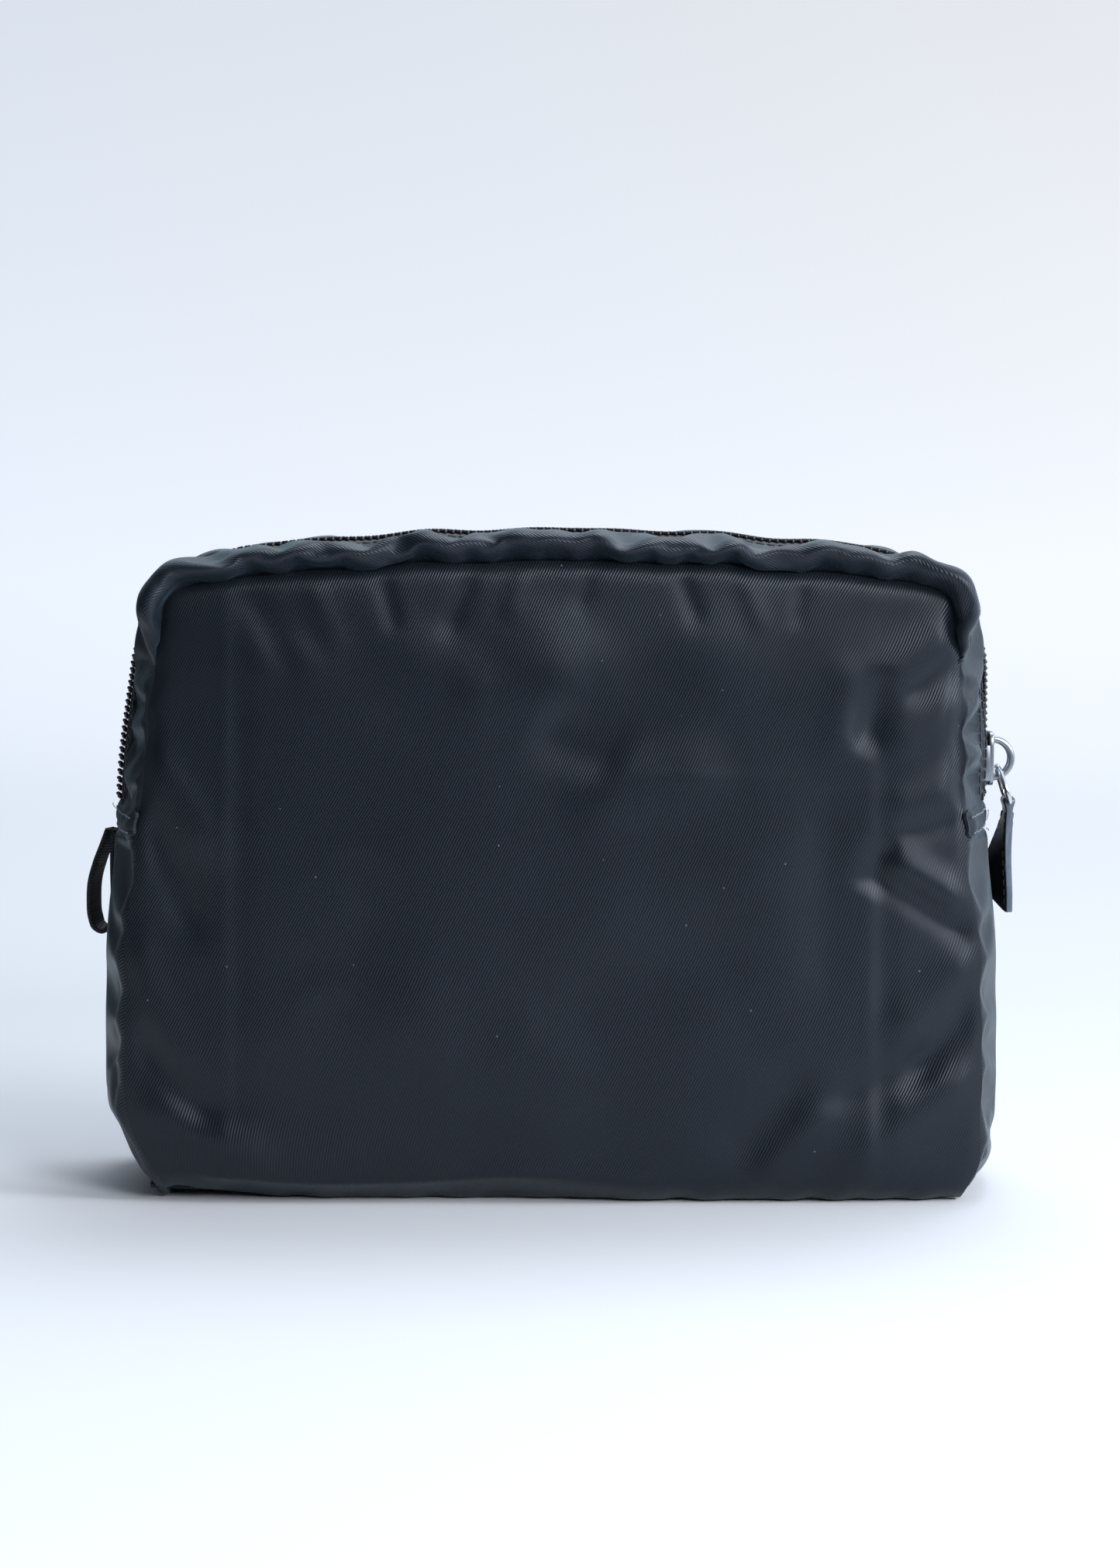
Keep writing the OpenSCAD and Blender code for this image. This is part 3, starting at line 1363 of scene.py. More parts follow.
@dataclass
class Panel:
    """The front or the back panel: one piece of twill that turns under at the bottom.

    Attributes:
        face: Which face it is on.
        name: Name of the piece.
        stands_for: The CAD nodes that it replaces.
        folds: Its folds.
        crown: How far its middle stands out.
        seed: Chooses its unevenness.
    """

    face: Face
    name: str
    stands_for: tuple[str, ...]
    folds: tuple[Fold, ...]
    seed: int
    crown: float = 2.2 * MM
    columns: int = 124
    rows: int = 96
    turn_y: float = 8 * MM
    turn_z: float = 6.8 * MM
    flank: float = 1.5 * MM
    thickness: float = 0.8 * MM

    def shape(self, across: Array, up: Array) -> Array:
        """Places the panel.

        Args:
            across: Share across.
            up: Share up the cloth, from the seam under the bag to the top seam.

        Returns:
            The places.
        """
        form = FORM
        share = across * 2.0 - 1.0
        seam_z = form.top - form.seam_top
        under = self.turn_z * math.pi / 2
        climb = up * (seam_z - self.turn_z + under)
        turned = np.clip(climb / under, 0, 1)
        angle = (1.0 - turned) * math.pi / 2
        crisp = smooth(0.25, -0.15, share) * smooth(-0.98, -0.8, share)
        z = self.turn_z * (crisp * turned + (1.0 - crisp) * (1.0 - np.sin(angle)))
        z = z + np.maximum(climb - under, 0.0)
        back = crisp * (1.0 - turned) + (1.0 - crisp) * 0.8 * (1.0 - np.cos(angle))
        depth = SEAM_DEPTH - self.turn_y * back
        narrow = crisp * 0.3 * (1.0 - hump(-3 * MM, 26 * MM, share * form.half_w))
        z = z - narrow * np.minimum(z, self.turn_z) * smooth(45 * MM, self.turn_z, z)
        edge_x = form.seam_x(z) - form.corner_in(share, z)
        x = share * edge_x
        round_z = form.corner_r - form.seam_top
        corner_x = form.half_w - form.corner_r
        round_x = edge_x - corner_x
        corner_z = seam_z - round_z
        a = np.maximum(np.abs(x) - corner_x, 0.0) / round_x
        b = np.clip((z - corner_z) / round_z, 0.0, 1.0)
        a, power = np.minimum(a, 1.0), form.corner_power
        inner = a * (1.0 - b**power / 2) ** (1 / power)
        x = np.where(a > 0, np.sign(x) * (corner_x + inner * round_x), x)
        lowered = corner_z + b * round_z * (1.0 - a**power / 2) ** (1 / power)
        z = np.where(b > 0, lowered, z)
        x, z = form.sag(x, z)
        swell = (1.0 - np.abs(share) ** 3.2) * smooth(0.0, 0.16, up) * smooth(1.0, 0.84, up)
        uneven = ripple(self.seed, x + 0.4 * z, 30 * MM, 70 * MM)
        uneven = uneven * ripple(self.seed + 1, z, 40 * MM, 90 * MM)
        depth = depth + swell * (self.crown + uneven * 0.5 * MM)
        depth = depth - self.flank * np.clip((np.abs(x) - 69 * MM) / (22 * MM), 0, 1.2)
        return np.stack([x, self.face * depth, z], axis=1)

    def edge_distance(self, cut: Cut) -> Array:
        """Rough distance of each vertex from the side and top seams.

        Args:
            cut: The panel's sheet.

        Returns:
            The distances.
        """
        side = np.minimum(cut.across, 1.0 - cut.across) * 2 * FORM.half_w
        top = (1.0 - cut.up) * FORM.top
        return np.minimum(side, top)

    def build(self) -> bpy.types.Object:
        """Builds and dresses the panel.

        Returns:
            The piece.
        """
        cut = Cut(self.name, self.columns, self.rows, self.shape)
        sheet = cut.lay()
        edge = self.edge_distance(cut)
        bottom = cut.up * FORM.top
        held = (edge < 0.8 * MM) | (bottom < 11.5 * MM)
        near_top = smooth(26 * MM, 4 * MM, (1.0 - cut.up) * FORM.top)
        near_side = smooth(20 * MM, 3 * MM, edge)
        slack = np.clip(0.10 + 0.9 * near_top + 0.5 * near_side, 0, 1)
        Ease(0.045, 0.6, 4.0, 7 * MM).pucker(sheet, held, slack)
        self._press(sheet, edge)
        make_cloth(sheet, self.thickness, (0, 0, FORM.top / 2))
        body = None if self.face is Face.FRONT else Body.ROOT
        return hand_over(sheet, Finish.PANEL, "panel_twill", *self.stands_for, body=body)

    def _press(self, sheet: bpy.types.Object, edge: Array) -> None:
        """Adds the folds, tucks the seams in and keeps the cloth off the floor.

        Args:
            sheet: The panel.
            edge: Distance of each vertex from the side and top seams.
        """
        points = points_of(sheet)
        x, z = points[:, 0], points[:, 2]
        rise = sum(f.rise(x, z) for f in self.folds)
        calm = smooth(0.0, 5 * MM, edge) * smooth(0.0, 6 * MM, z)
        low, high = FORM.zip_end - 8 * MM, FORM.zip_end + 8 * MM
        tuck = 1.7 * MM * np.exp(-edge / (1.3 * MM)) * smooth(low, high, z)
        tuck += 0.45 * MM * np.exp(-edge / (0.9 * MM)) * smooth(high, low, z)
        points[:, 1] += self.face * (rise * calm - tuck)
        lift = 2.6 * MM * hump(-83 * MM, 5 * MM, x) + 1.6 * MM * hump(-72 * MM, 12 * MM, x)
        points[:, 2] += lift * smooth(12 * MM, 0.0, z)
        points[:, 2] += 0.35 * MM * ripple(self.seed + 5, x, 9 * MM, 22 * MM) * smooth(5 * MM, 0.0, z)
        points[:, 2] = np.maximum(points[:, 2], 0.3 * MM)
        put_points(sheet, points)


@dataclass
class ZipGusset:
    """The gathered cloth between a panel's seam and the zip, puffed into a rolled edge.

    Attributes:
        face: Which face it is on.
        name: Name of the piece.
        stands_for: The CAD nodes that it replaces.
        seed: Chooses its gathers.
    """

    face: Face
    name: str
    stands_for: tuple[str, ...]
    seed: int
    columns: int = 250
    rows: int = 24
    tail: float = 1.5 * MM
    thickness: float = 0.7 * MM
    profile: tuple[Pair, ...] = (
        (7.0, 29.0), (5.9, 31.0), (5.2, 33.4), (3.9, 35.2), (2.3, 35.5), (1.1, 33.8),
        (0.6, 30.0), (0.4, 24.0), (0.5, 18.2), (0.7, 15.4), (0.8, 12.0),
    )
    stitched: float = 0.85

    def rolled(self, travel: Array, share: Array) -> Array:
        """The puffed roll, along most of the zip.

        Args:
            travel: Distance along the zip.
            share: Share from the seam to the folded edge by the tape.

        Returns:
            X, depth and Z.
        """
        inset, depth = (spline(self.profile, share) * MM).T
        loose = np.sin(math.pi * np.clip(share / self.stitched, 0, 1))
        wave = ripple(self.seed, travel, 9 * MM, 26 * MM)
        first, last = FORM.straight + 0.15 * FORM.corner_r, FORM.straight + 1.3 * FORM.corner_r
        turned = smooth(first, last, FORM.from_end(travel))
        inset = inset + loose * (3.4 * MM * (1.0 - turned) - 0.4 * MM * wave) - FORM.dome(travel, depth)
        depth = depth + loose * 0.5 * MM * ripple(self.seed + 1, travel, 11 * MM, 30 * MM)
        x, z = FORM.outline(travel, inset, depth)
        return np.stack([x, depth, z], axis=1)

    def flat(self, travel: Array, share: Array) -> Array:
        """The cloth near the zip's ends, which slopes from the seam to the zip.

        Args:
            travel: Distance along the zip.
            share: Share from the seam to the folded edge by the tape.

        Returns:
            X, depth and Z.
        """
        side = np.where(travel < FORM.length / 2, -1.0, 1.0)
        z = FORM.zip_end + FORM.from_end(travel)
        tuck = np.exp(-share / 0.06)
        depth = 31 * MM - share * 19 * MM
        x = FORM.side_x(depth / SEAM_DEPTH, z) - 0.7 * MM * tuck
        puff = np.sin(math.pi * np.clip(share / self.stitched, 0, 1)) * smooth(88 * MM, 96 * MM, z)
        x = x + puff * 1.1 * MM * ripple(self.seed + 2, travel, 10 * MM, 17 * MM)
        x = x + FORM.ridge(travel, depth)
        x, z = FORM.sag(side * x, z)
        return np.stack([x, depth - 1.2 * MM * tuck, z], axis=1)

    def shape(self, across: Array, up: Array) -> Array:
        """Places the gusset.

        Args:
            across: Share along the zip, from the left end to the right.
            up: Share from the panel's seam to the zip.

        Returns:
            The places.
        """
        travel = across * (FORM.length + 2 * self.tail) - self.tail
        ease = FORM.rolls_over(travel)[:, None]
        placed = self.rolled(travel, up) * ease + self.flat(travel, up) * (1.0 - ease)
        placed[:, 1] *= self.face
        return placed

    def build(self) -> bpy.types.Object:
        """Builds and dresses the gusset.

        Returns:
            The piece.
        """
        cut = Cut(self.name, self.columns, self.rows, self.shape)
        sheet = cut.lay()
        ends = np.minimum(cut.across, 1.0 - cut.across) * FORM.length
        held = (cut.up < 0.06) | (cut.up > self.stitched) | (ends < 7.5 * MM)
        upright = smooth(FORM.straight + 18 * MM, FORM.straight, ends)
        Ease(0.055, 0.6, 4.0, 3.6 * MM).pucker(sheet, held, limit=0.32 + 0.68 * upright)
        make_cloth(sheet, self.thickness, (0, 0, FORM.zip_end))
        body = None if self.face is Face.FRONT else Body.ROOT
        return hand_over(sheet, Finish.GUSSET, "gusset_twill", *self.stands_for, body=body)


@dataclass
class SideGusset:
    """The side of the bag below the zip.

    Attributes:
        side: Which end of the bag it is on.
        name: Name of the piece.
        stands_for: The CAD node that it replaces.
        seed: Chooses its unevenness.
    """

    side: Side
    name: str
    stands_for: str
    seed: int
    columns: int = 52
    rows: int = 66
    overlap: float = 3 * MM
    set_back: float = 2.2 * MM
    thickness: float = 0.8 * MM

    def shape(self, across: Array, up: Array) -> Array:
        """Places the gusset.

        Args:
            across: Share from the front seam to the rear seam.
            up: Share up from the base.

        Returns:
            The places.
        """
        share = across * 2.0 - 1.0
        z = 0.6 * MM + up * (FORM.zip_end + self.overlap)
        x = FORM.side_x(share, z) - 1.1 * MM * smooth(-self.overlap, 1 * MM, z - FORM.zip_end)
        x = x - FORM.corner_in(np.full_like(z, self.side), z)
        x = x - 1.3 * MM * smooth(0.95, 1.0, np.abs(share))
        x, z = FORM.sag(x, z)
        depth = share * (SEAM_DEPTH - self.set_back - 6.5 * MM * smooth(6 * MM, 0.0, z))
        return np.stack([self.side * x, depth, z], axis=1)

    def build(self) -> bpy.types.Object:
        """Builds and dresses the gusset.

        Returns:
            The piece.
        """
        cut = Cut(self.name, self.columns, self.rows, self.shape)
        sheet = cut.lay()
        ends = np.minimum(cut.across, 1.0 - cut.across)
        held = (ends < 0.02) | (cut.up < 0.02) | (cut.up > 0.94)
        Ease(0.035, 0.3, 3.0, 1.8 * MM).pucker(sheet, held)
        points = points_of(sheet)
        tuck = 0.3 * MM * np.exp(-ends * 2 * FORM.half_d / (0.9 * MM))
        points[:, 0] -= self.side * tuck
        points[:, 2] = np.maximum(points[:, 2], 0.5 * MM)
        put_points(sheet, points)
        make_cloth(sheet, self.thickness, (0, 0, FORM.zip_end / 2))
        return hand_over(sheet, Finish.GUSSET, "gusset_twill", self.stands_for, body=Body.ROOT)


@dataclass
class BasePanel:
    """The panel that the bag stands on, raised a little towards its edges."""

    name: str = "base_cloth"
    columns: int = 90
    rows: int = 34
    height: float = 0.9 * MM
    thickness: float = 0.8 * MM

    def shape(self, across: Array, up: Array) -> Array:
        """Places the base.

        Args:
            across: Share across the bag.
            up: Share from the front to the rear.

        Returns:
            The places.
        """
        x = (across * 2 - 1) * (FORM.half_w - 8.5 * MM)
        y = (up * 2 - 1) * (SEAM_DEPTH - 8 * MM)
        from_side = np.minimum(across, 1 - across) * 2 * FORM.half_w
        edge = np.minimum(from_side, np.minimum(up, 1 - up) * 2 * FORM.half_d)
        sag = ripple(31, x + y, 30 * MM, 60 * MM) * 0.25 * MM
        z = self.height + (1.4 * MM + sag) * smooth(8 * MM, 0.0, edge)
        return np.stack([x, y, z], axis=1)

    def build(self) -> bpy.types.Object:
        """Builds and dresses the base.

        Returns:
            The piece.
        """
        sheet = Cut(self.name, self.columns, self.rows, self.shape).lay()
        make_cloth(sheet, self.thickness, (0, 0, FORM.top / 2))
        points = points_of(sheet)
        points[:, 2] = np.maximum(points[:, 2], 0.05 * MM)
        put_points(sheet, points)
        return hand_over(sheet, Finish.PANEL, "panel_twill", "base_panel", body=Body.ROOT)


@dataclass
class Lining:
    """A sheet of lining inside a piece of the outer cloth.

    Attributes:
        name: Name of the piece.
        shape: The shape of the outer cloth.
        columns: Number of cells across.
        rows: Number of cells up.
        centre: A point inside the bag that the lining looks at.
        stands_for: The CAD nodes that it replaces.
        body: The body that it rides on, or None where it crosses the lip's fold.
        seed: Chooses its creases.
    """

    name: str
    shape: Shape
    columns: int
    rows: int
    centre: Triple
    stands_for: tuple[str, ...]
    body: Body | None
    seed: int
    gap: float = 2.6 * MM
    thickness: float = 0.3 * MM

    def build(self) -> bpy.types.Object:
        """Builds and dresses the lining.

        Returns:
            The piece.
        """
        sheet = Cut(self.name, self.columns, self.rows, self.shape).lay()
        face_out(sheet, self.centre)
        normals = np.zeros(len(sheet.data.vertices) * 3)
        sheet.data.vertices.foreach_get("normal", normals)
        points = points_of(sheet)
        crease = ripple(self.seed, points[:, 0] + 0.5 * points[:, 2], 12 * MM, 34 * MM)
        points -= normals.reshape(-1, 3) * (self.gap + 0.4 * MM * crease[:, None])
        put_points(sheet, points)
        make_cloth(sheet, self.thickness, self.centre)
        return hand_over(sheet, Finish.LINING, "lining", *self.stands_for, body=self.body)


@dataclass
class ZipTape:
    """One half of the zip's woven tape, which rises to the coil.

    Attributes:
        face: Which face it is on.
        name: Name of the piece.
        stands_for: The CAD nodes that it replaces.
    """

    face: Face
    name: str
    stands_for: tuple[str, ...]
    columns: int = 200
    rows: int = 8
    thickness: float = 0.5 * MM
    profile: tuple[Pair, ...] = (
        (1.7, 15.2), (1.4, 12.5), (0.9, 9.0), (0.45, 5.0), (0.15, 2.6), (0.1, 1.2),
    )

    def shape(self, across: Array, up: Array) -> Array:
        """Places the tape.

        Args:
            across: Share along the zip, from the left end to the right.
            up: Share from the tape's outer edge to the coil.

        Returns:
            The places.
        """
        travel = across * FORM.length
        inset, depth = (spline(self.profile, up) * MM).T
        inset = inset + 0.12 * MM * ripple(int(self.face) + 60, travel, 10 * MM, 40 * MM) * (1 - up)
        x, z = FORM.outline(travel, inset, depth)
        return np.stack([x, self.face * depth, z], axis=1)

    def build(self) -> bpy.types.Object:
        """Builds and dresses the tape.

        Returns:
            The piece.
        """
        sheet = Cut(self.name, self.columns, self.rows, self.shape).lay()
        make_cloth(sheet, self.thickness, (0, 0, FORM.zip_end))
        body = None if self.face is Face.FRONT else Body.ROOT
        return hand_over(sheet, Finish.TAPE, "zip_tape", *self.stands_for, body=body)


@dataclass
class ZipCoil:
    """One row of the zip's nylon coil, whose turns mesh with those of the other row.

    Attributes:
        face: Which face it is on.
        name: Name of the piece.
        stands_for: The CAD nodes that it replaces.
    """

    face: Face
    name: str
    stands_for: tuple[str, ...]
    pitch: float = 1.78 * MM
    wire_r: float = 0.42 * MM
    reach: float = 3.9 * MM
    middle: float = 1.35 * MM
    inset: float = -0.45 * MM
    slant: float = 10.0
    end_gap: float = 5.6 * MM

    def turn(self) -> bpy.types.Object:
        """One turn of the coil: a round bar across the zip, with a round nose.

        Returns:
            The turn, round its own origin.
        """
        deselect_all()
        bpy.ops.mesh.primitive_cylinder_add(
            vertices=8, radius=self.wire_r, depth=self.reach, rotation=(math.pi / 2, 0, 0)
        )
        bar = named("turn")
        settle_at_origin(bar)
        bevel = bar.modifiers.new("nose", "BEVEL")
        bevel.width, bevel.segments, bevel.limit_method = self.wire_r * 0.7, 2, "ANGLE"
        bevel.angle_limit = math.radians(60)
        apply_modifiers(bar)
        points = points_of(bar)
        points[:, 2] = points[:, 2] * 1.3 - 0.25 * MM * (points[:, 1] / (self.reach / 2)) ** 2
        put_points(bar, points)
        return bar

    def build(self) -> bpy.types.Object:
        """Builds and dresses the row.

        Returns:
            The piece.
        """
        shift = self.pitch / 2 if self.face is Face.FRONT else 0.0
        stops = np.arange(self.end_gap + shift, FORM.length - self.end_gap, self.pitch)
        lean = Matrix.Rotation(math.radians(self.slant), 4, "Z")
        places = [FORM.place_at(t, self.inset, self.face * self.middle) @ lean for t in stops]
        row = repeat(self.name, self.turn(), places)
        body = None if self.face is Face.FRONT else Body.ROOT
        return hand_over(row, Finish.COIL, "zip_coil", *self.stands_for, body=body)


def stitch(length: float, width: float) -> bpy.types.Object:
    """One stitch of thread, along X, with the cloth at Z 0.

    Args:
        length: Length of the stitch.
        width: Width of the thread.

    Returns:
        The stitch, round its own origin.
    """
    deselect_all()
    bpy.ops.mesh.primitive_cylinder_add(
        vertices=8, radius=width / 2, depth=length, rotation=(0, math.pi / 2, 0)
    )
    thread = named("stitch")
    settle_at_origin(thread)
    bevel = thread.modifiers.new("nose", "BEVEL")
    bevel.width, bevel.segments, bevel.limit_method = width * 0.4, 2, "ANGLE"
    bevel.angle_limit = math.radians(60)
    apply_modifiers(thread)
    points = points_of(thread)
    points[:, 2] += 0.04 * MM - 0.2 * MM * (points[:, 0] / (length / 2)) ** 4
    put_points(thread, points)
    return thread


def stitch_axes(ends: Array, out: Vector) -> Matrix:
    """A place for a stitch between two points, on a surface that faces roughly one way.

    Args:
        ends: The two points.
        out: The way the surface faces.

    Returns:
        Axes at the place, with X along the stitch and Z out of the surface.
    """
    a, b = (Vector(p) for p in ends)
    along = (b - a).normalized()
    out = (out - along * out.dot(along)).normalized()
    axes = Matrix((along, out.cross(along), out)).transposed().to_4x4()
    axes.translation = (a + b) / 2
    return axes


@dataclass
class Topstitch:
    """Two rows of stitches that hold the gusset's folded edge to the tape.

    Attributes:
        face: Which face it is on.
        name: Name of the piece.
        stands_for: The CAD nodes that it replaces.
        rows: Inset and depth of each row along the roll, in millimetres.
        stand: How far the rows stand off the upright sides, in millimetres.
    """

    face: Face
    name: str
    stands_for: tuple[str, ...]
    rows: tuple[Pair, ...] = ((0.72, 12.9), (0.55, 15.4))
    pitch: float = 2.5 * MM
    length: float = 1.9 * MM
    width: float = 0.45 * MM
    end_gap: float = 6.4 * MM
    stand: float = 0.3

    def build(self) -> bpy.types.Object:
        """Builds and dresses the rows.

        Returns:
            The piece.
        """
        places = []
        for i, (inset, depth) in enumerate(self.rows):
            for t in np.arange(self.end_gap + i * 0.9 * MM, FORM.length - self.end_gap, self.pitch):
                turned = float(FORM.rolls_over(t))
                sunk = inset * turned - self.stand * (1.0 - turned)
                places.append(FORM.place_at(t, sunk * MM, self.face * depth * MM))
        rows = repeat(self.name, stitch(self.length, self.width), places)
        body = None if self.face is Face.FRONT else Body.ROOT
        return hand_over(rows, Finish.THREAD, "thread", *self.stands_for, body=body)


@dataclass
class Strap:
    """A strip or a wire drawn along a path, with rounded edges and ends.

    Attributes:
        name: Name of the piece.
        path: Points that it runs through.
        across: Direction of its width.
        half_w: Half its width.
        half_t: Half its thickness.
        power: 2 for a round section, and more for a flat one with tighter edges.
        columns: Number of cells along it.
        rows: Number of cells round it.
        closed: True where the path closes on itself.
        widen: Gives the width at shares along it, as a share of the full width.
        thicken: Gives the thickness in the same way.
    """

    name: str
    path: Sequence[Triple]
    across: Triple
    half_w: float
    half_t: float
    power: float = 2.0
    columns: int = 60
    rows: int = 12
    closed: bool = False
    widen: Callable[[Array], Array] = np.ones_like
    thicken: Callable[[Array], Array] = np.ones_like

    def line(self, share: Array) -> Array:
        """Places along the path, once round where it is closed.

        Args:
            share: Shares along the path.

        Returns:
            The places.
        """
        if not self.closed:
            return spline(self.path, share)
        wrapped = np.array([self.path[-1], *self.path, self.path[0], self.path[1]])
        reach = np.concatenate([[0.0], np.cumsum(np.linalg.norm(np.diff(wrapped, axis=0), axis=1))])
        low, high = reach[1] / reach[-1], reach[-2] / reach[-1]
        return spline(wrapped, low + np.mod(share, 1.0) * (high - low))

    def shape(self, along: Array, up: Array) -> Array:
        """Places the strip's skin.

        Args:
            along: Share along it.
            up: Share round it.

        Returns:
            The places.
        """
        middle = self.line(along)
        ahead = self.line(along + 1e-3 if self.closed else np.minimum(along + 1e-3, 1.0))
        behind = self.line(along - 1e-3 if self.closed else np.maximum(along - 1e-3, 0.0))
        tangent = ahead - behind
        tangent /= np.linalg.norm(tangent, axis=1, keepdims=True)
        side = np.array(self.across) - tangent * (tangent @ np.array(self.across))[:, None]
        side /= np.linalg.norm(side, axis=1, keepdims=True)
        out = np.cross(tangent, side)
        cos, sin = np.cos(up * math.tau), np.sin(up * math.tau)
        wide = np.sign(cos) * np.abs(cos) ** (2 / self.power) * self.half_w * self.widen(along)
        deep = np.sign(sin) * np.abs(sin) ** (2 / self.power) * self.half_t * self.thicken(along)
        if not self.closed:
            steps = np.diff(self.line(np.linspace(0, 1, 50)), axis=0)
            length = float(np.linalg.norm(steps, axis=1).sum())
            from_end = np.minimum(along, 1.0 - along) * length / self.half_t
            cap = np.sqrt(1.0 - (1.0 - np.clip(from_end, 0, 1)) ** 2)
            wide, deep = wide * np.maximum(cap, 1e-4), deep * np.maximum(cap, 1e-4)
        return middle + side * wide[:, None] + out * deep[:, None]

    def build(self) -> bpy.types.Object:
        """Builds the strip.

        Returns:
            The piece, not yet dressed.
        """
        piece = Cut(self.name, self.columns, self.rows, self.shape).lay()
        close_normals(piece)
        smooth_shading(piece, 60.0)
        return piece


def joined(name: str, pieces: Sequence[bpy.types.Object]) -> bpy.types.Object:
    """Joins several meshes into one.

    Args:
        name: Name of the result.
        pieces: The meshes.

    Returns:
        The piece.
    """
    deselect_all()
    for piece in pieces:
        piece.select_set(True)
    bpy.context.view_layer.objects.active = pieces[0]
    bpy.ops.object.join()
    return named(name)


@dataclass
class EndTab:
    """The bound tab over one end of the zip, with its stitches and some loose ends of thread.

    Attributes:
        side: Which end of the bag it is on.
        name: Name of the piece.
        stands_for: The CAD node that it replaces.
        seed: Chooses its loose threads.
    """

    side: Side
    name: str
    stands_for: str
    seed: int
    half: float = 31 * MM
    low: float = 80.8 * MM
    high: float = 87.2 * MM
    stand: float = 1.0 * MM
    thickness: float = 0.7 * MM
    rows: Pair = (82.2 * MM, 85.6 * MM)
    loose_ends: int = 5

    def surface(self, y: Array, z: Array, stand: Array) -> Array:
        """A place on the tab.

        Args:
            y: Its Y.
            z: Its height.
            stand: How far it stands off the bag's side.

        Returns:
            The place.
        """
        x, z = FORM.sag(FORM.side_x(y / SEAM_DEPTH, z) + stand, z)
        return np.stack([self.side * x, y, z], axis=1)

    def shape(self, across: Array, up: Array) -> Array:
        """Places the tab.

        Args:
            across: Share from the front to the rear.
            up: Share from its lower edge to its upper edge.

        Returns:
            The places.
        """
        y = (across * 2 - 1) * self.half
        to_end = np.abs(across * 2 - 1)
        up = 0.5 + (up - 0.5) * (1.0 - 0.25 * smooth(0.94, 1.0, to_end))
        edges = ripple(self.seed, y, 7 * MM, 18 * MM)
        z = self.low + up * (self.high - self.low) + edges * 0.35 * MM
        dip = hump(0.22, 0.09, up) + hump(0.75, 0.09, up)
        swell = self.stand * np.sin(math.pi * np.clip(up, 0, 1)) ** 0.5 * smooth(1.0, 0.9, to_end)
        uneven = 0.22 * MM * ripple(self.seed + 1, y, 3 * MM, 8 * MM) * np.sin(math.pi * up)
        return self.surface(y, z, swell - 0.22 * MM * dip + uneven)

    def threads(self) -> list[bpy.types.Object]:
        """The stitches and the loose ends.

        Returns:
            Their meshes.
        """
        draw = np.random.default_rng(self.seed)
        places = []
        for z in self.rows:
            for y in np.arange(-self.half + 1.5 * MM, self.half - 1 * MM, 2.3 * MM):
                ends = np.array([y - 0.8 * MM, y + 0.8 * MM])
                height = z + draw.uniform(-0.25, 0.25, 2) * MM
                ends = self.surface(ends, height, np.full(2, self.stand - 0.05 * MM))
                places.append(stitch_axes(ends, Vector((float(self.side), 0, 0))))
        parts = [repeat("tab_stitches", stitch(1.7 * MM, 0.32 * MM), places)]
        for i in range(self.loose_ends):
            y = draw.uniform(-0.96, 0.96) * self.half
            z = draw.choice(self.rows)
            steps = np.cumsum(draw.normal(0, 0.9, (4, 2)) * MM, axis=0)
            ys, zs = y + steps[:, 0], z + steps[:, 1]
            stand = self.stand + np.array([0.0, 0.5, 0.8, 0.7]) * MM
            path = [tuple(p) for p in self.surface(ys, zs, stand)]
            thread = Strap(f"loose_{i}", path, (0, 0.3, 1), 0.08 * MM, 0.08 * MM, columns=16, rows=6)
            parts.append(thread.build())
        return parts

    def build(self) -> None:
        """Builds and dresses the tab and its threads."""
        sheet = Cut(self.name, 72, 16, self.shape).lay()
        make_cloth(sheet, self.thickness, (0, 0, FORM.zip_end))
        hand_over(sheet, Finish.BINDING, "end_tab", self.stands_for, body=Body.ROOT)
        threads = joined(f"{self.name}_threads", self.threads())
        hand_over(threads, Finish.LOOSE_THREAD, "thread", body=Body.ROOT)


def block(low: Triple, high: Triple, bevel: float) -> bpy.types.Object:
    """A box with rounded edges.

    Args:
        low: Its lowest corner.
        high: Its highest corner.
        bevel: Radius of its edges.

    Returns:
        The box.
    """
    middle = [(a + b) / 2 for a, b in zip(low, high)]
    deselect_all()
    bpy.ops.mesh.primitive_cube_add(size=1.0, location=middle)
    piece = named("block")
    piece.scale = [b - a for a, b in zip(low, high)]
    settle_at_origin(piece)
    edge = piece.modifiers.new("edge", "BEVEL")
    edge.width, edge.segments = bevel, 3
    apply_modifiers(piece)
    return piece


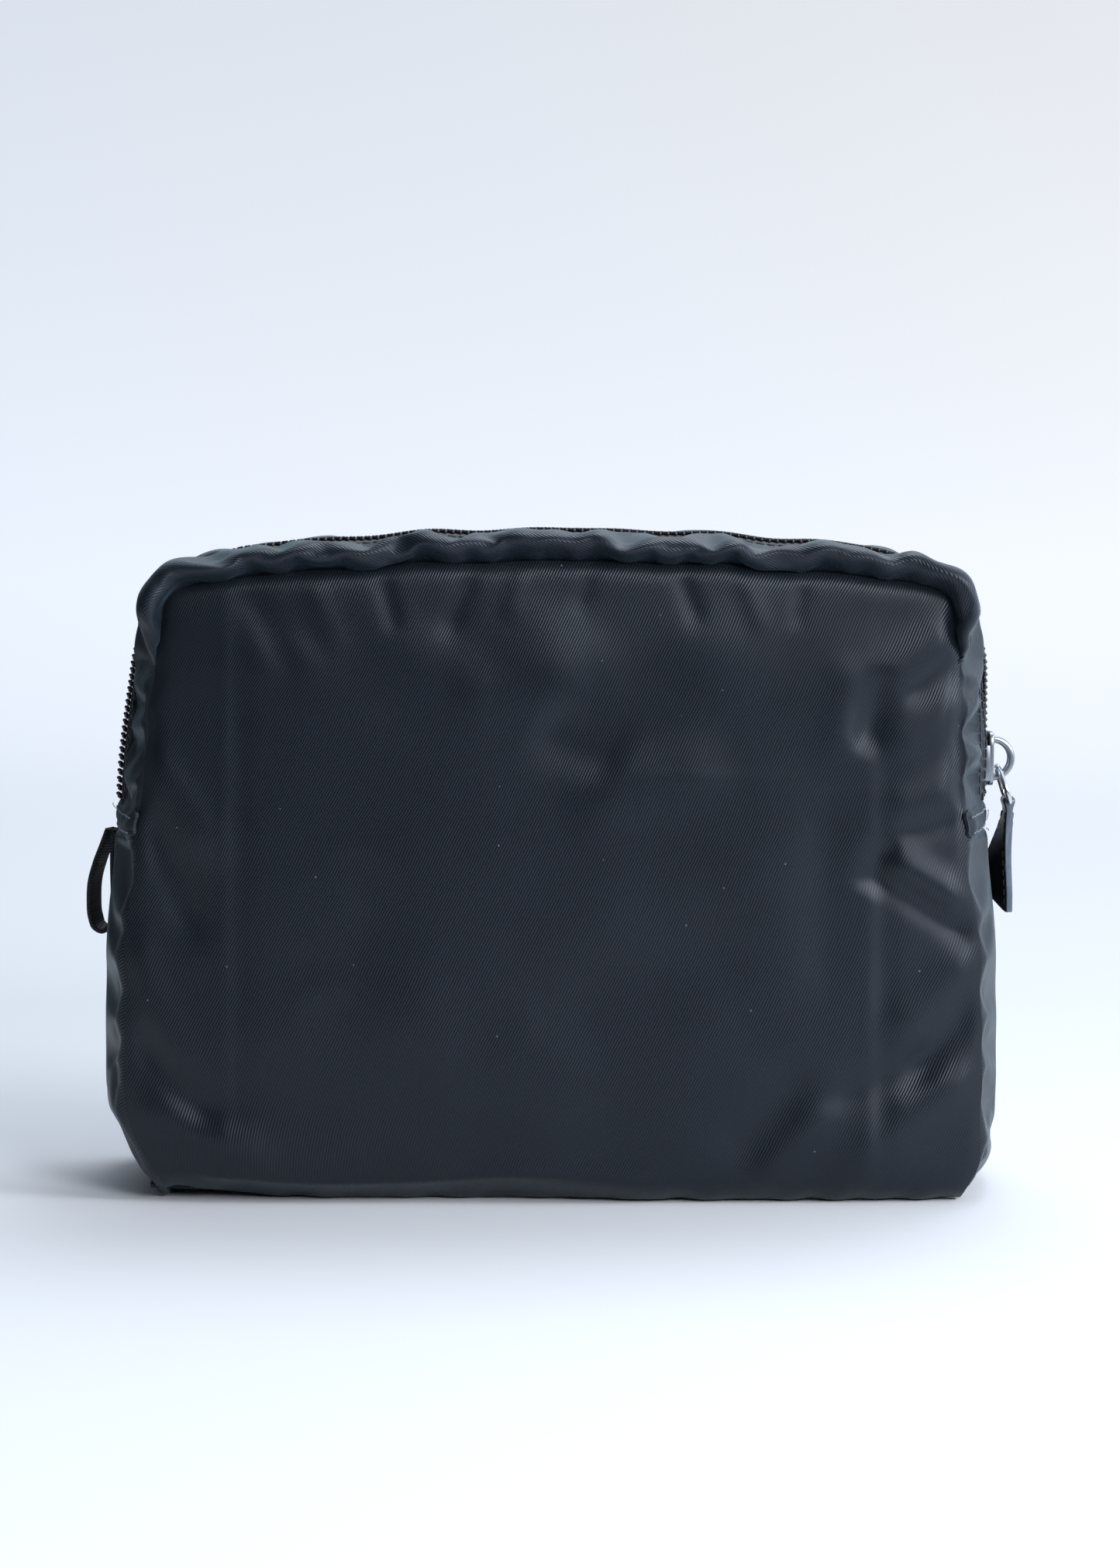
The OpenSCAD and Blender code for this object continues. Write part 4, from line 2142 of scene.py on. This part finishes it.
@dataclass
class Slider:
    """The zip's slider: two plates, a post, side flanges and the bail over the top."""

    half_w: float = 4.5 * MM
    plate_t: float = 1.1 * MM
    flange_t: float = 0.8 * MM
    edge: float = 0.28 * MM
    bail_r: float = 4.3 * MM
    bail_half_w: float = 1.25 * MM
    bail_half_t: float = 0.82 * MM

    def plate(self, x: float, low: float, high: float, waist: float) -> bpy.types.Object:
        """One plate, rounded in outline and narrower at its lower end.

        Args:
            x: X of its middle.
            low: Z of its lower end.
            high: Z of its upper end.
            waist: How much narrower its lower end is, as a share.

        Returns:
            The plate.
        """
        deselect_all()
        bpy.ops.mesh.primitive_cylinder_add(
            vertices=48, radius=1.0, depth=self.plate_t, rotation=(0, math.pi / 2, 0)
        )
        plate = named("plate")
        settle_at_origin(plate)
        points = points_of(plate)
        angle = np.arctan2(points[:, 2], points[:, 1])
        cos, sin = np.cos(angle), np.sin(angle)
        y = np.sign(cos) * np.abs(cos) ** 0.42
        z = np.sign(sin) * np.abs(sin) ** 0.5
        points[:, 0] += x
        points[:, 1] = y * self.half_w * (1.0 - waist * (1.0 - z) / 2)
        points[:, 2] = (low + high) / 2 + z * (high - low) / 2
        put_points(plate, points)
        edge = plate.modifiers.new("edge", "BEVEL")
        edge.width, edge.segments, edge.limit_method = self.edge, 3, "ANGLE"
        edge.angle_limit = math.radians(50)
        apply_modifiers(plate)
        return plate

    def build(self) -> None:
        """Builds and dresses the slider and its bail."""
        low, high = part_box("slider_body")
        outer, inner = high.x - self.plate_t / 2, low.x + self.plate_t / 2
        coil_out, coil_in = high.x - self.plate_t, low.x + self.plate_t
        z0, z1 = low.z, high.z
        w, t = self.half_w, self.flange_t
        parts = [
            self.plate(outer, z0, z1, 0.16),
            self.plate(inner, z0, z1, 0.10),
            block(
                (coil_in - 0.2 * MM, -0.3 * MM, z1 - 3.2 * MM),
                (coil_out + 0.2 * MM, 0.3 * MM, z1 - 0.6 * MM),
                0.1 * MM,
            ),
        ]
        spans = ((coil_out - 1.3 * MM, coil_out + 0.3 * MM), (coil_in - 0.3 * MM, coil_in + 0.2 * MM))
        for side in (-1, 1):
            near, far = sorted((side * (w - t) * 0.95, side * w * 0.95))
            for x0, x1 in spans:
                parts.append(block((x0, near, z0 + 1.2 * MM), (x1, far, z1 - 3 * MM), 0.2 * MM))
        body = joined("slider_shell", parts)
        smooth_shading(body, 40.0)
        hand_over(body, Finish.METAL, "slider_metal", "slider_body", body=Body.SLIDER)
        middle, r = (z0 + z1) / 2, self.bail_r
        angles = np.radians(np.linspace(97, -97, 15))
        path = [(high.x + r * math.cos(a), 0.0, middle + r * math.sin(a)) for a in angles]
        hoop = Strap("bail", path, (0, 1, 0), self.bail_half_w, self.bail_half_t, 3.4, 64, 20)
        bail = hoop.build()
        hand_over(bail, Finish.METAL, "slider_metal", "slider_bail", body=Body.SLIDER)


@dataclass
class Pull:
    """The wire link and the leather pull that is folded over it, which hangs with a twist.

    Attributes:
        twist: How far the pull is turned about its front edge, in degrees.
        link_corners: The link's corners, as shares of its length and of its half-width there.
    """

    twist: float = 23.5
    link_corners: tuple[Pair, ...] = (
        (0, -0.72), (0, 0.72), (0.12, 1), (0.88, 1), (1, 0.8), (1, -0.8), (0.88, -1), (0.12, -1),
    )
    wire_r: float = 0.6 * MM
    top_half: float = 2.6 * MM
    low_half: float = 4.6 * MM
    half_w: float = 5.5 * MM
    neck: float = 3.4 * MM
    half_t: float = 1.0 * MM
    slant: float = 5.0 * MM
    groove: float = 0.12 * MM
    stitch_pitch: float = 2.2 * MM

    def __post_init__(self) -> None:
        """Takes the link's and the pull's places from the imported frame."""
        low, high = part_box("pull_link")
        self.link_top = (low.x + self.wire_r, high.z - self.wire_r)
        self.link_end = (high.x - self.wire_r, low.z + self.wire_r)
        low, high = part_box("pull_leather")
        self.length = high.z - low.z
        self.top = high.z

    def half_width(self, drop: Array) -> Array:
        """Half the pull's width at a distance below its fold."""
        return self.neck + (self.half_w - self.neck) * np.clip(drop / (self.length - self.slant), 0, 1)

    def turned(self, drop: Array) -> Array:
        """How far the pull is turned at a distance below its fold, in radians."""
        return math.radians(self.twist) * smooth(2.5 * MM, 17 * MM, drop)

    def hang(self, points: Array) -> Array:
        """Cuts the lower end at a slant and gives the pull its twist.

        Args:
            points: Places on the straight pull.

        Returns:
            The places as it hangs.
        """
        x, y, z = points.T
        drop = self.top - z
        back = np.clip((y + self.half_w) / (2 * self.half_w), 0, 1)
        drop = drop * (1.0 - back * self.slant / self.length * smooth(0.2, 0.9, drop / self.length))
        angle = self.turned(drop)
        pin_x, pin_y = self.link_end[0], -self.half_w
        run, side = x - pin_x, y - pin_y
        turned_x = pin_x + run * np.cos(angle) - side * np.sin(angle)
        turned_y = pin_y + run * np.sin(angle) + side * np.cos(angle)
        return np.stack([turned_x, turned_y, self.top - drop], axis=1)

    def build(self) -> None:
        """Builds and dresses the link, the leather and its stitches."""
        self._link()
        self._leather()
        self._stitches()

    def _link(self) -> None:
        """Builds and dresses the wire link."""
        (tx, tz), (ex, ez) = self.link_top, self.link_end
        corners = []
        for share, y in self.link_corners:
            half = self.top_half + (self.low_half - self.top_half) * share
            corners.append((tx + (ex - tx) * share, y * half, tz + (ez - tz) * share))
        lean = Vector((tz - ez, 0, ex - tx)).normalized()
        wire = Strap(
            "link", corners, tuple(lean), self.wire_r, self.wire_r, columns=96, rows=14, closed=True
        )
        link = wire.build()
        hand_over(link, Finish.WIRE, "link_wire", "pull_link", body=Body.LINK)

    def _leather(self) -> None:
        """Builds and dresses the leather, with painted edges whose paler colour also holds a painted
        highlight.
        """
        x = self.link_end[0]
        path = [(x, 0.0, self.top - s * self.length) for s in np.linspace(0, 1, 8)]

        def widen(share: Array) -> Array:
            """The width at shares down the strip, as a share of the full width."""
            return self.half_width(share * self.length) / self.half_w

        def thicken(share: Array) -> Array:
            """The thickness at shares down the strip, swollen at the fold and pinched below it."""
            drop = share * self.length
            return 1.0 + 0.42 * hump(1.3 * MM, 1.2 * MM, drop) - 0.16 * hump(3.6 * MM, 1.3 * MM, drop)

        strap = Strap(
            "leather", path, (0, 1, 0), self.half_w, self.half_t, 7.0, 72, 36, widen=widen, thicken=thicken
        )
        leather = strap.build()
        points = points_of(leather)
        middle = hump(0.0, 0.22 * MM, points[:, 0] - x)
        rim = np.abs(points[:, 1]) > self.half_width(self.top - points[:, 2]) * 0.93
        points[:, 1] -= np.sign(points[:, 1]) * middle * rim * self.groove
        put_points(leather, self.hang(points))
        leather.data.materials.append(Finish.LEATHER.material())
        leather.data.materials.append(Finish.EDGE.material())
        turn = Matrix.Rotation(math.radians(-self.twist), 3, "Z")
        # The edge faces take the edge paint, whose colour holds a painted highlight.
        for p in leather.data.polygons:
            normal = turn @ p.normal
            p.material_index = int(abs(normal.y) > 0.6 or normal.z < -0.6)
        hand_over(leather, Finish.LEATHER, "pull_leather", "pull_leather", body=Body.PULL)

    def _stitches(self) -> None:
        """Builds and dresses the stitches down both edges of both faces."""
        x, places = self.link_end[0], []
        for side in (-1, 1):
            last = self.length - 2.4 * MM - (self.slant if side > 0 else 0.0)
            for drop in np.arange(4.6 * MM, last, self.stitch_pitch):
                y = side * (self.half_width(np.array([drop]))[0] - 1.0 * MM)
                for out in (-1, 1):
                    face_x = x + out * self.half_t * 0.99
                    ends = np.array([[face_x, y, self.top - drop - d * MM] for d in (-0.7, 0.7)])
                    turn = Matrix.Rotation(float(self.turned(drop)), 3, "Z")
                    places.append(stitch_axes(self.hang(ends), turn @ Vector((out, 0, 0))))
        rows = repeat("pull_stitches", stitch(1.5 * MM, 0.3 * MM), places)
        hand_over(rows, Finish.THREAD, "pull_thread", "pull_stitching", body=Body.PULL)


@dataclass
class RibbonLoop:
    """The loop of ribbon that hangs from the left end tab."""

    half_w: float = 4.5 * MM
    half_t: float = 0.6 * MM
    path: tuple[Pair, ...] = (
        (98.4, 80.9), (98.85, 77.0), (98.95, 72.0), (98.9, 66.0), (99.1, 61.0),
        (100.0, 58.4), (101.6, 57.4), (103.2, 58.2), (104.1, 60.6), (104.35, 64.5),
        (104.1, 68.5), (102.9, 73.0), (101.2, 77.4), (99.9, 80.9),
    )

    def build(self) -> bpy.types.Object:
        """Builds and dresses the loop.

        Returns:
            The piece.
        """
        points = [(-x * MM, 0.0, z * MM) for x, z in self.path]
        loop = Strap("ribbon", points, (0.17, 1, 0), self.half_w, self.half_t, 6.0, 110, 24).build()
        return hand_over(loop, Finish.GROSGRAIN, "ribbon", "loop_ribbon", body=Body.LOOP)


@dataclass
class Studio:
    """A pale floor that sweeps up behind, soft lights and the camera."""

    target: Triple = (2 * MM, -5 * MM, 91 * MM)
    distance: float = 0.838
    elevation: float = 4.5
    lens: float = 85.0
    near_r: float = 0.42
    flat_r: float = 1.3
    sweep_r: float = 1.2
    window: Triple = (0.95, 0.42, 0.72)
    glow: tuple[float, ...] = (-0.1, 0.95, 0.09, 1.35)

    def floor(self) -> None:
        """Adds the flat floor and the sweep round it, which only the camera sees."""

        def place(angle: Array, travel: Array) -> Array:
            """Places points of the floor and the sweep.

            Args:
                angle: Angles round the bag.
                travel: Distances out along the floor and up the sweep.

            Returns:
                The places.
            """
            lift = np.clip((travel - self.flat_r) / self.sweep_r, 0, math.pi / 2)
            radius = np.minimum(travel, self.flat_r) + self.sweep_r * np.sin(lift)
            z = self.sweep_r * (1.0 - np.cos(lift))
            return np.stack([radius * np.cos(angle), radius * np.sin(angle), z], axis=1)

        def flat(across: Array, up: Array) -> Array:
            """Places the floor near the bag."""
            return place(across * math.tau, up * self.near_r)

        def sweep(across: Array, up: Array) -> Array:
            """Places the rest of the floor and the sweep."""
            reach = self.flat_r - self.near_r + self.sweep_r * math.pi / 2
            return place(across * math.tau, self.near_r + up * reach)

        for name, shape, rows in (("floor", flat, 12), ("sweep", sweep, 60)):
            bowl = Cut(name, 96, rows, shape).lay()
            close_normals(bowl)
            smooth_shading(bowl, 60.0)
            bowl.data.materials.append(Finish.FLOOR.material())
        bowl.visible_diffuse = bowl.visible_glossy = bowl.visible_shadow = False

    def room(self) -> None:
        """Sets the light of the room, which comes from a wide window high on the right."""
        world = bpy.data.worlds.new("room")
        world.use_nodes = True
        nodes, links = world.node_tree.nodes, world.node_tree.links
        sky = nodes["Background"]
        place = nodes.new("ShaderNodeTexCoord")
        toward, window = nodes.new("ShaderNodeVectorMath"), nodes.new("ShaderNodeMapRange")
        toward.operation = "DOT_PRODUCT"
        toward.inputs[1].default_value = Vector(self.window).normalized()
        window.interpolation_type = "SMOOTHSTEP"
        for name, value in zip(("From Min", "From Max", "To Min", "To Max"), self.glow):
            window.inputs[name].default_value = value
        links.new(place.outputs["Generated"], toward.inputs[0])
        links.new(toward.outputs["Value"], window.inputs["Value"])
        links.new(window.outputs["Result"], sky.inputs["Strength"])
        sky.inputs["Color"].default_value = (0.78, 0.87, 1.0, 1.0)
        bpy.context.scene.world = world

    def lamp(self, name: str, place: Triple, size: float, power: float, colour: Triple) -> None:
        """Adds a soft light that shines at the bag.

        Args:
            name: Its name.
            place: Where it stands.
            size: Its width.
            power: Its power in watts.
            colour: Its colour.
        """
        light = bpy.data.lights.new(name, "AREA")
        light.shape, light.size, light.energy, light.color = "DISK", size, power, colour
        lamp = bpy.data.objects.new(name, light)
        bpy.context.scene.collection.objects.link(lamp)
        lamp.location = place
        aim = Vector((0, 0, 0.08)) - Vector(place)
        lamp.rotation_euler = aim.to_track_quat("-Z", "Y").to_euler()

    def camera(self) -> None:
        """Adds the camera."""
        data = bpy.data.cameras.new("camera")
        data.lens, data.sensor_width = self.lens, 36.0
        camera = bpy.data.objects.new("camera", data)
        bpy.context.scene.collection.objects.link(camera)
        rise = math.radians(self.elevation)
        away = Vector((0, -math.cos(rise), math.sin(rise))) * self.distance
        camera.location = Vector(self.target) + away
        camera.rotation_euler = (-away).to_track_quat("-Z", "Y").to_euler()
        bpy.context.scene.camera = camera

    def build(self) -> None:
        """Builds the studio."""
        scene = bpy.context.scene
        scene.view_settings.view_transform = "Standard"
        self.room()
        self.floor()
        self.lamp("key", (0.95, -0.42, 0.5), 0.4, 6.5, (0.95, 0.97, 1.0))
        self.lamp("fill", (0.44, -0.84, 0.46), 0.35, 5.5, (0.90, 0.94, 1.0))
        self.lamp("top", (0.15, 0.35, 0.95), 0.5, 3.0, (0.92, 0.96, 1.0))
        self.camera()


def build_cloth() -> None:
    """Builds the outer cloth and the lining inside it."""
    front_names = ("front_panel_lower", "front_panel_upper")
    panel_front = Panel(Face.FRONT, "front_cloth", front_names, FRONT_FOLDS, 11)
    panel_back = Panel(Face.REAR, "back_cloth", ("back_panel",), REAR_FOLDS, 23)
    front_parts = [f"zip_gusset_front_{p}" for p in ("right", "left", "upper")]
    gusset_front = ZipGusset(Face.FRONT, "zip_gusset_front", tuple(front_parts), 5)
    gusset_back = ZipGusset(Face.REAR, "zip_gusset_back", ("zip_gusset_rear",), 8)
    side_right = SideGusset(Side.RIGHT, "side_cloth_right", "side_gusset_right", 41)
    side_left = SideGusset(Side.LEFT, "side_cloth_left", "side_gusset_left", 43)
    base = BasePanel()
    for piece in (panel_front, panel_back, gusset_front, gusset_back, side_right, side_left, base):
        piece.build()
    middle, zip_level = (0.0, 0.0, FORM.top / 2), (0.0, 0.0, FORM.zip_end)
    lining_front = tuple(f"lining_front_{p}" for p in ("lower", "upper"))
    lining_zip = tuple(f"lining_gusset_front_{p}" for p in ("right", "left", "upper"))
    lining_rear, root = ("lining_gusset_rear",), Body.ROOT
    for lining in (
        Lining("front_lining", panel_front.shape, 70, 54, middle, lining_front, None, 51),
        Lining("back_lining", panel_back.shape, 70, 54, middle, ("lining_back",), root, 52),
        Lining("zip_lining_front", gusset_front.shape, 140, 12, zip_level, lining_zip, None, 53),
        Lining("zip_lining_back", gusset_back.shape, 140, 12, zip_level, lining_rear, root, 54),
        Lining("side_lining_right", side_right.shape, 26, 34, middle, ("lining_side_right",), root, 55),
        Lining("side_lining_left", side_left.shape, 26, 34, middle, ("lining_side_left",), root, 56),
        Lining("base_lining", base.shape, 50, 20, middle, ("lining_base",), root, 57, gap=1.8 * MM),
    ):
        lining.build()


def build_zip() -> None:
    """Builds the zip's tape, coil and stitching, and the tabs over its ends."""
    for face, word in ((Face.FRONT, "front"), (Face.REAR, "rear")):
        ends = ("_right", "_left", "_upper") if face is Face.FRONT else ("",)
        for kind, node in ((ZipTape, "zip_tape"), (ZipCoil, "zip_coil"), (Topstitch, "topstitch")):
            kind(face, f"{node}_{word}_made", tuple(f"{node}_{word}{e}" for e in ends)).build()
    EndTab(Side.RIGHT, "tab_right", "end_tab_right", 71).build()
    EndTab(Side.LEFT, "tab_left", "end_tab_left", 73).build()


def main() -> None:
    """Builds the bag and the studio round it."""
    logging.basicConfig(level=logging.INFO, format="%(name)s: %(message)s")
    build_cloth()
    build_zip()
    Slider().build()
    Pull().build()
    RibbonLoop().build()
    Studio().build()


if __name__ == "__main__":
    main()
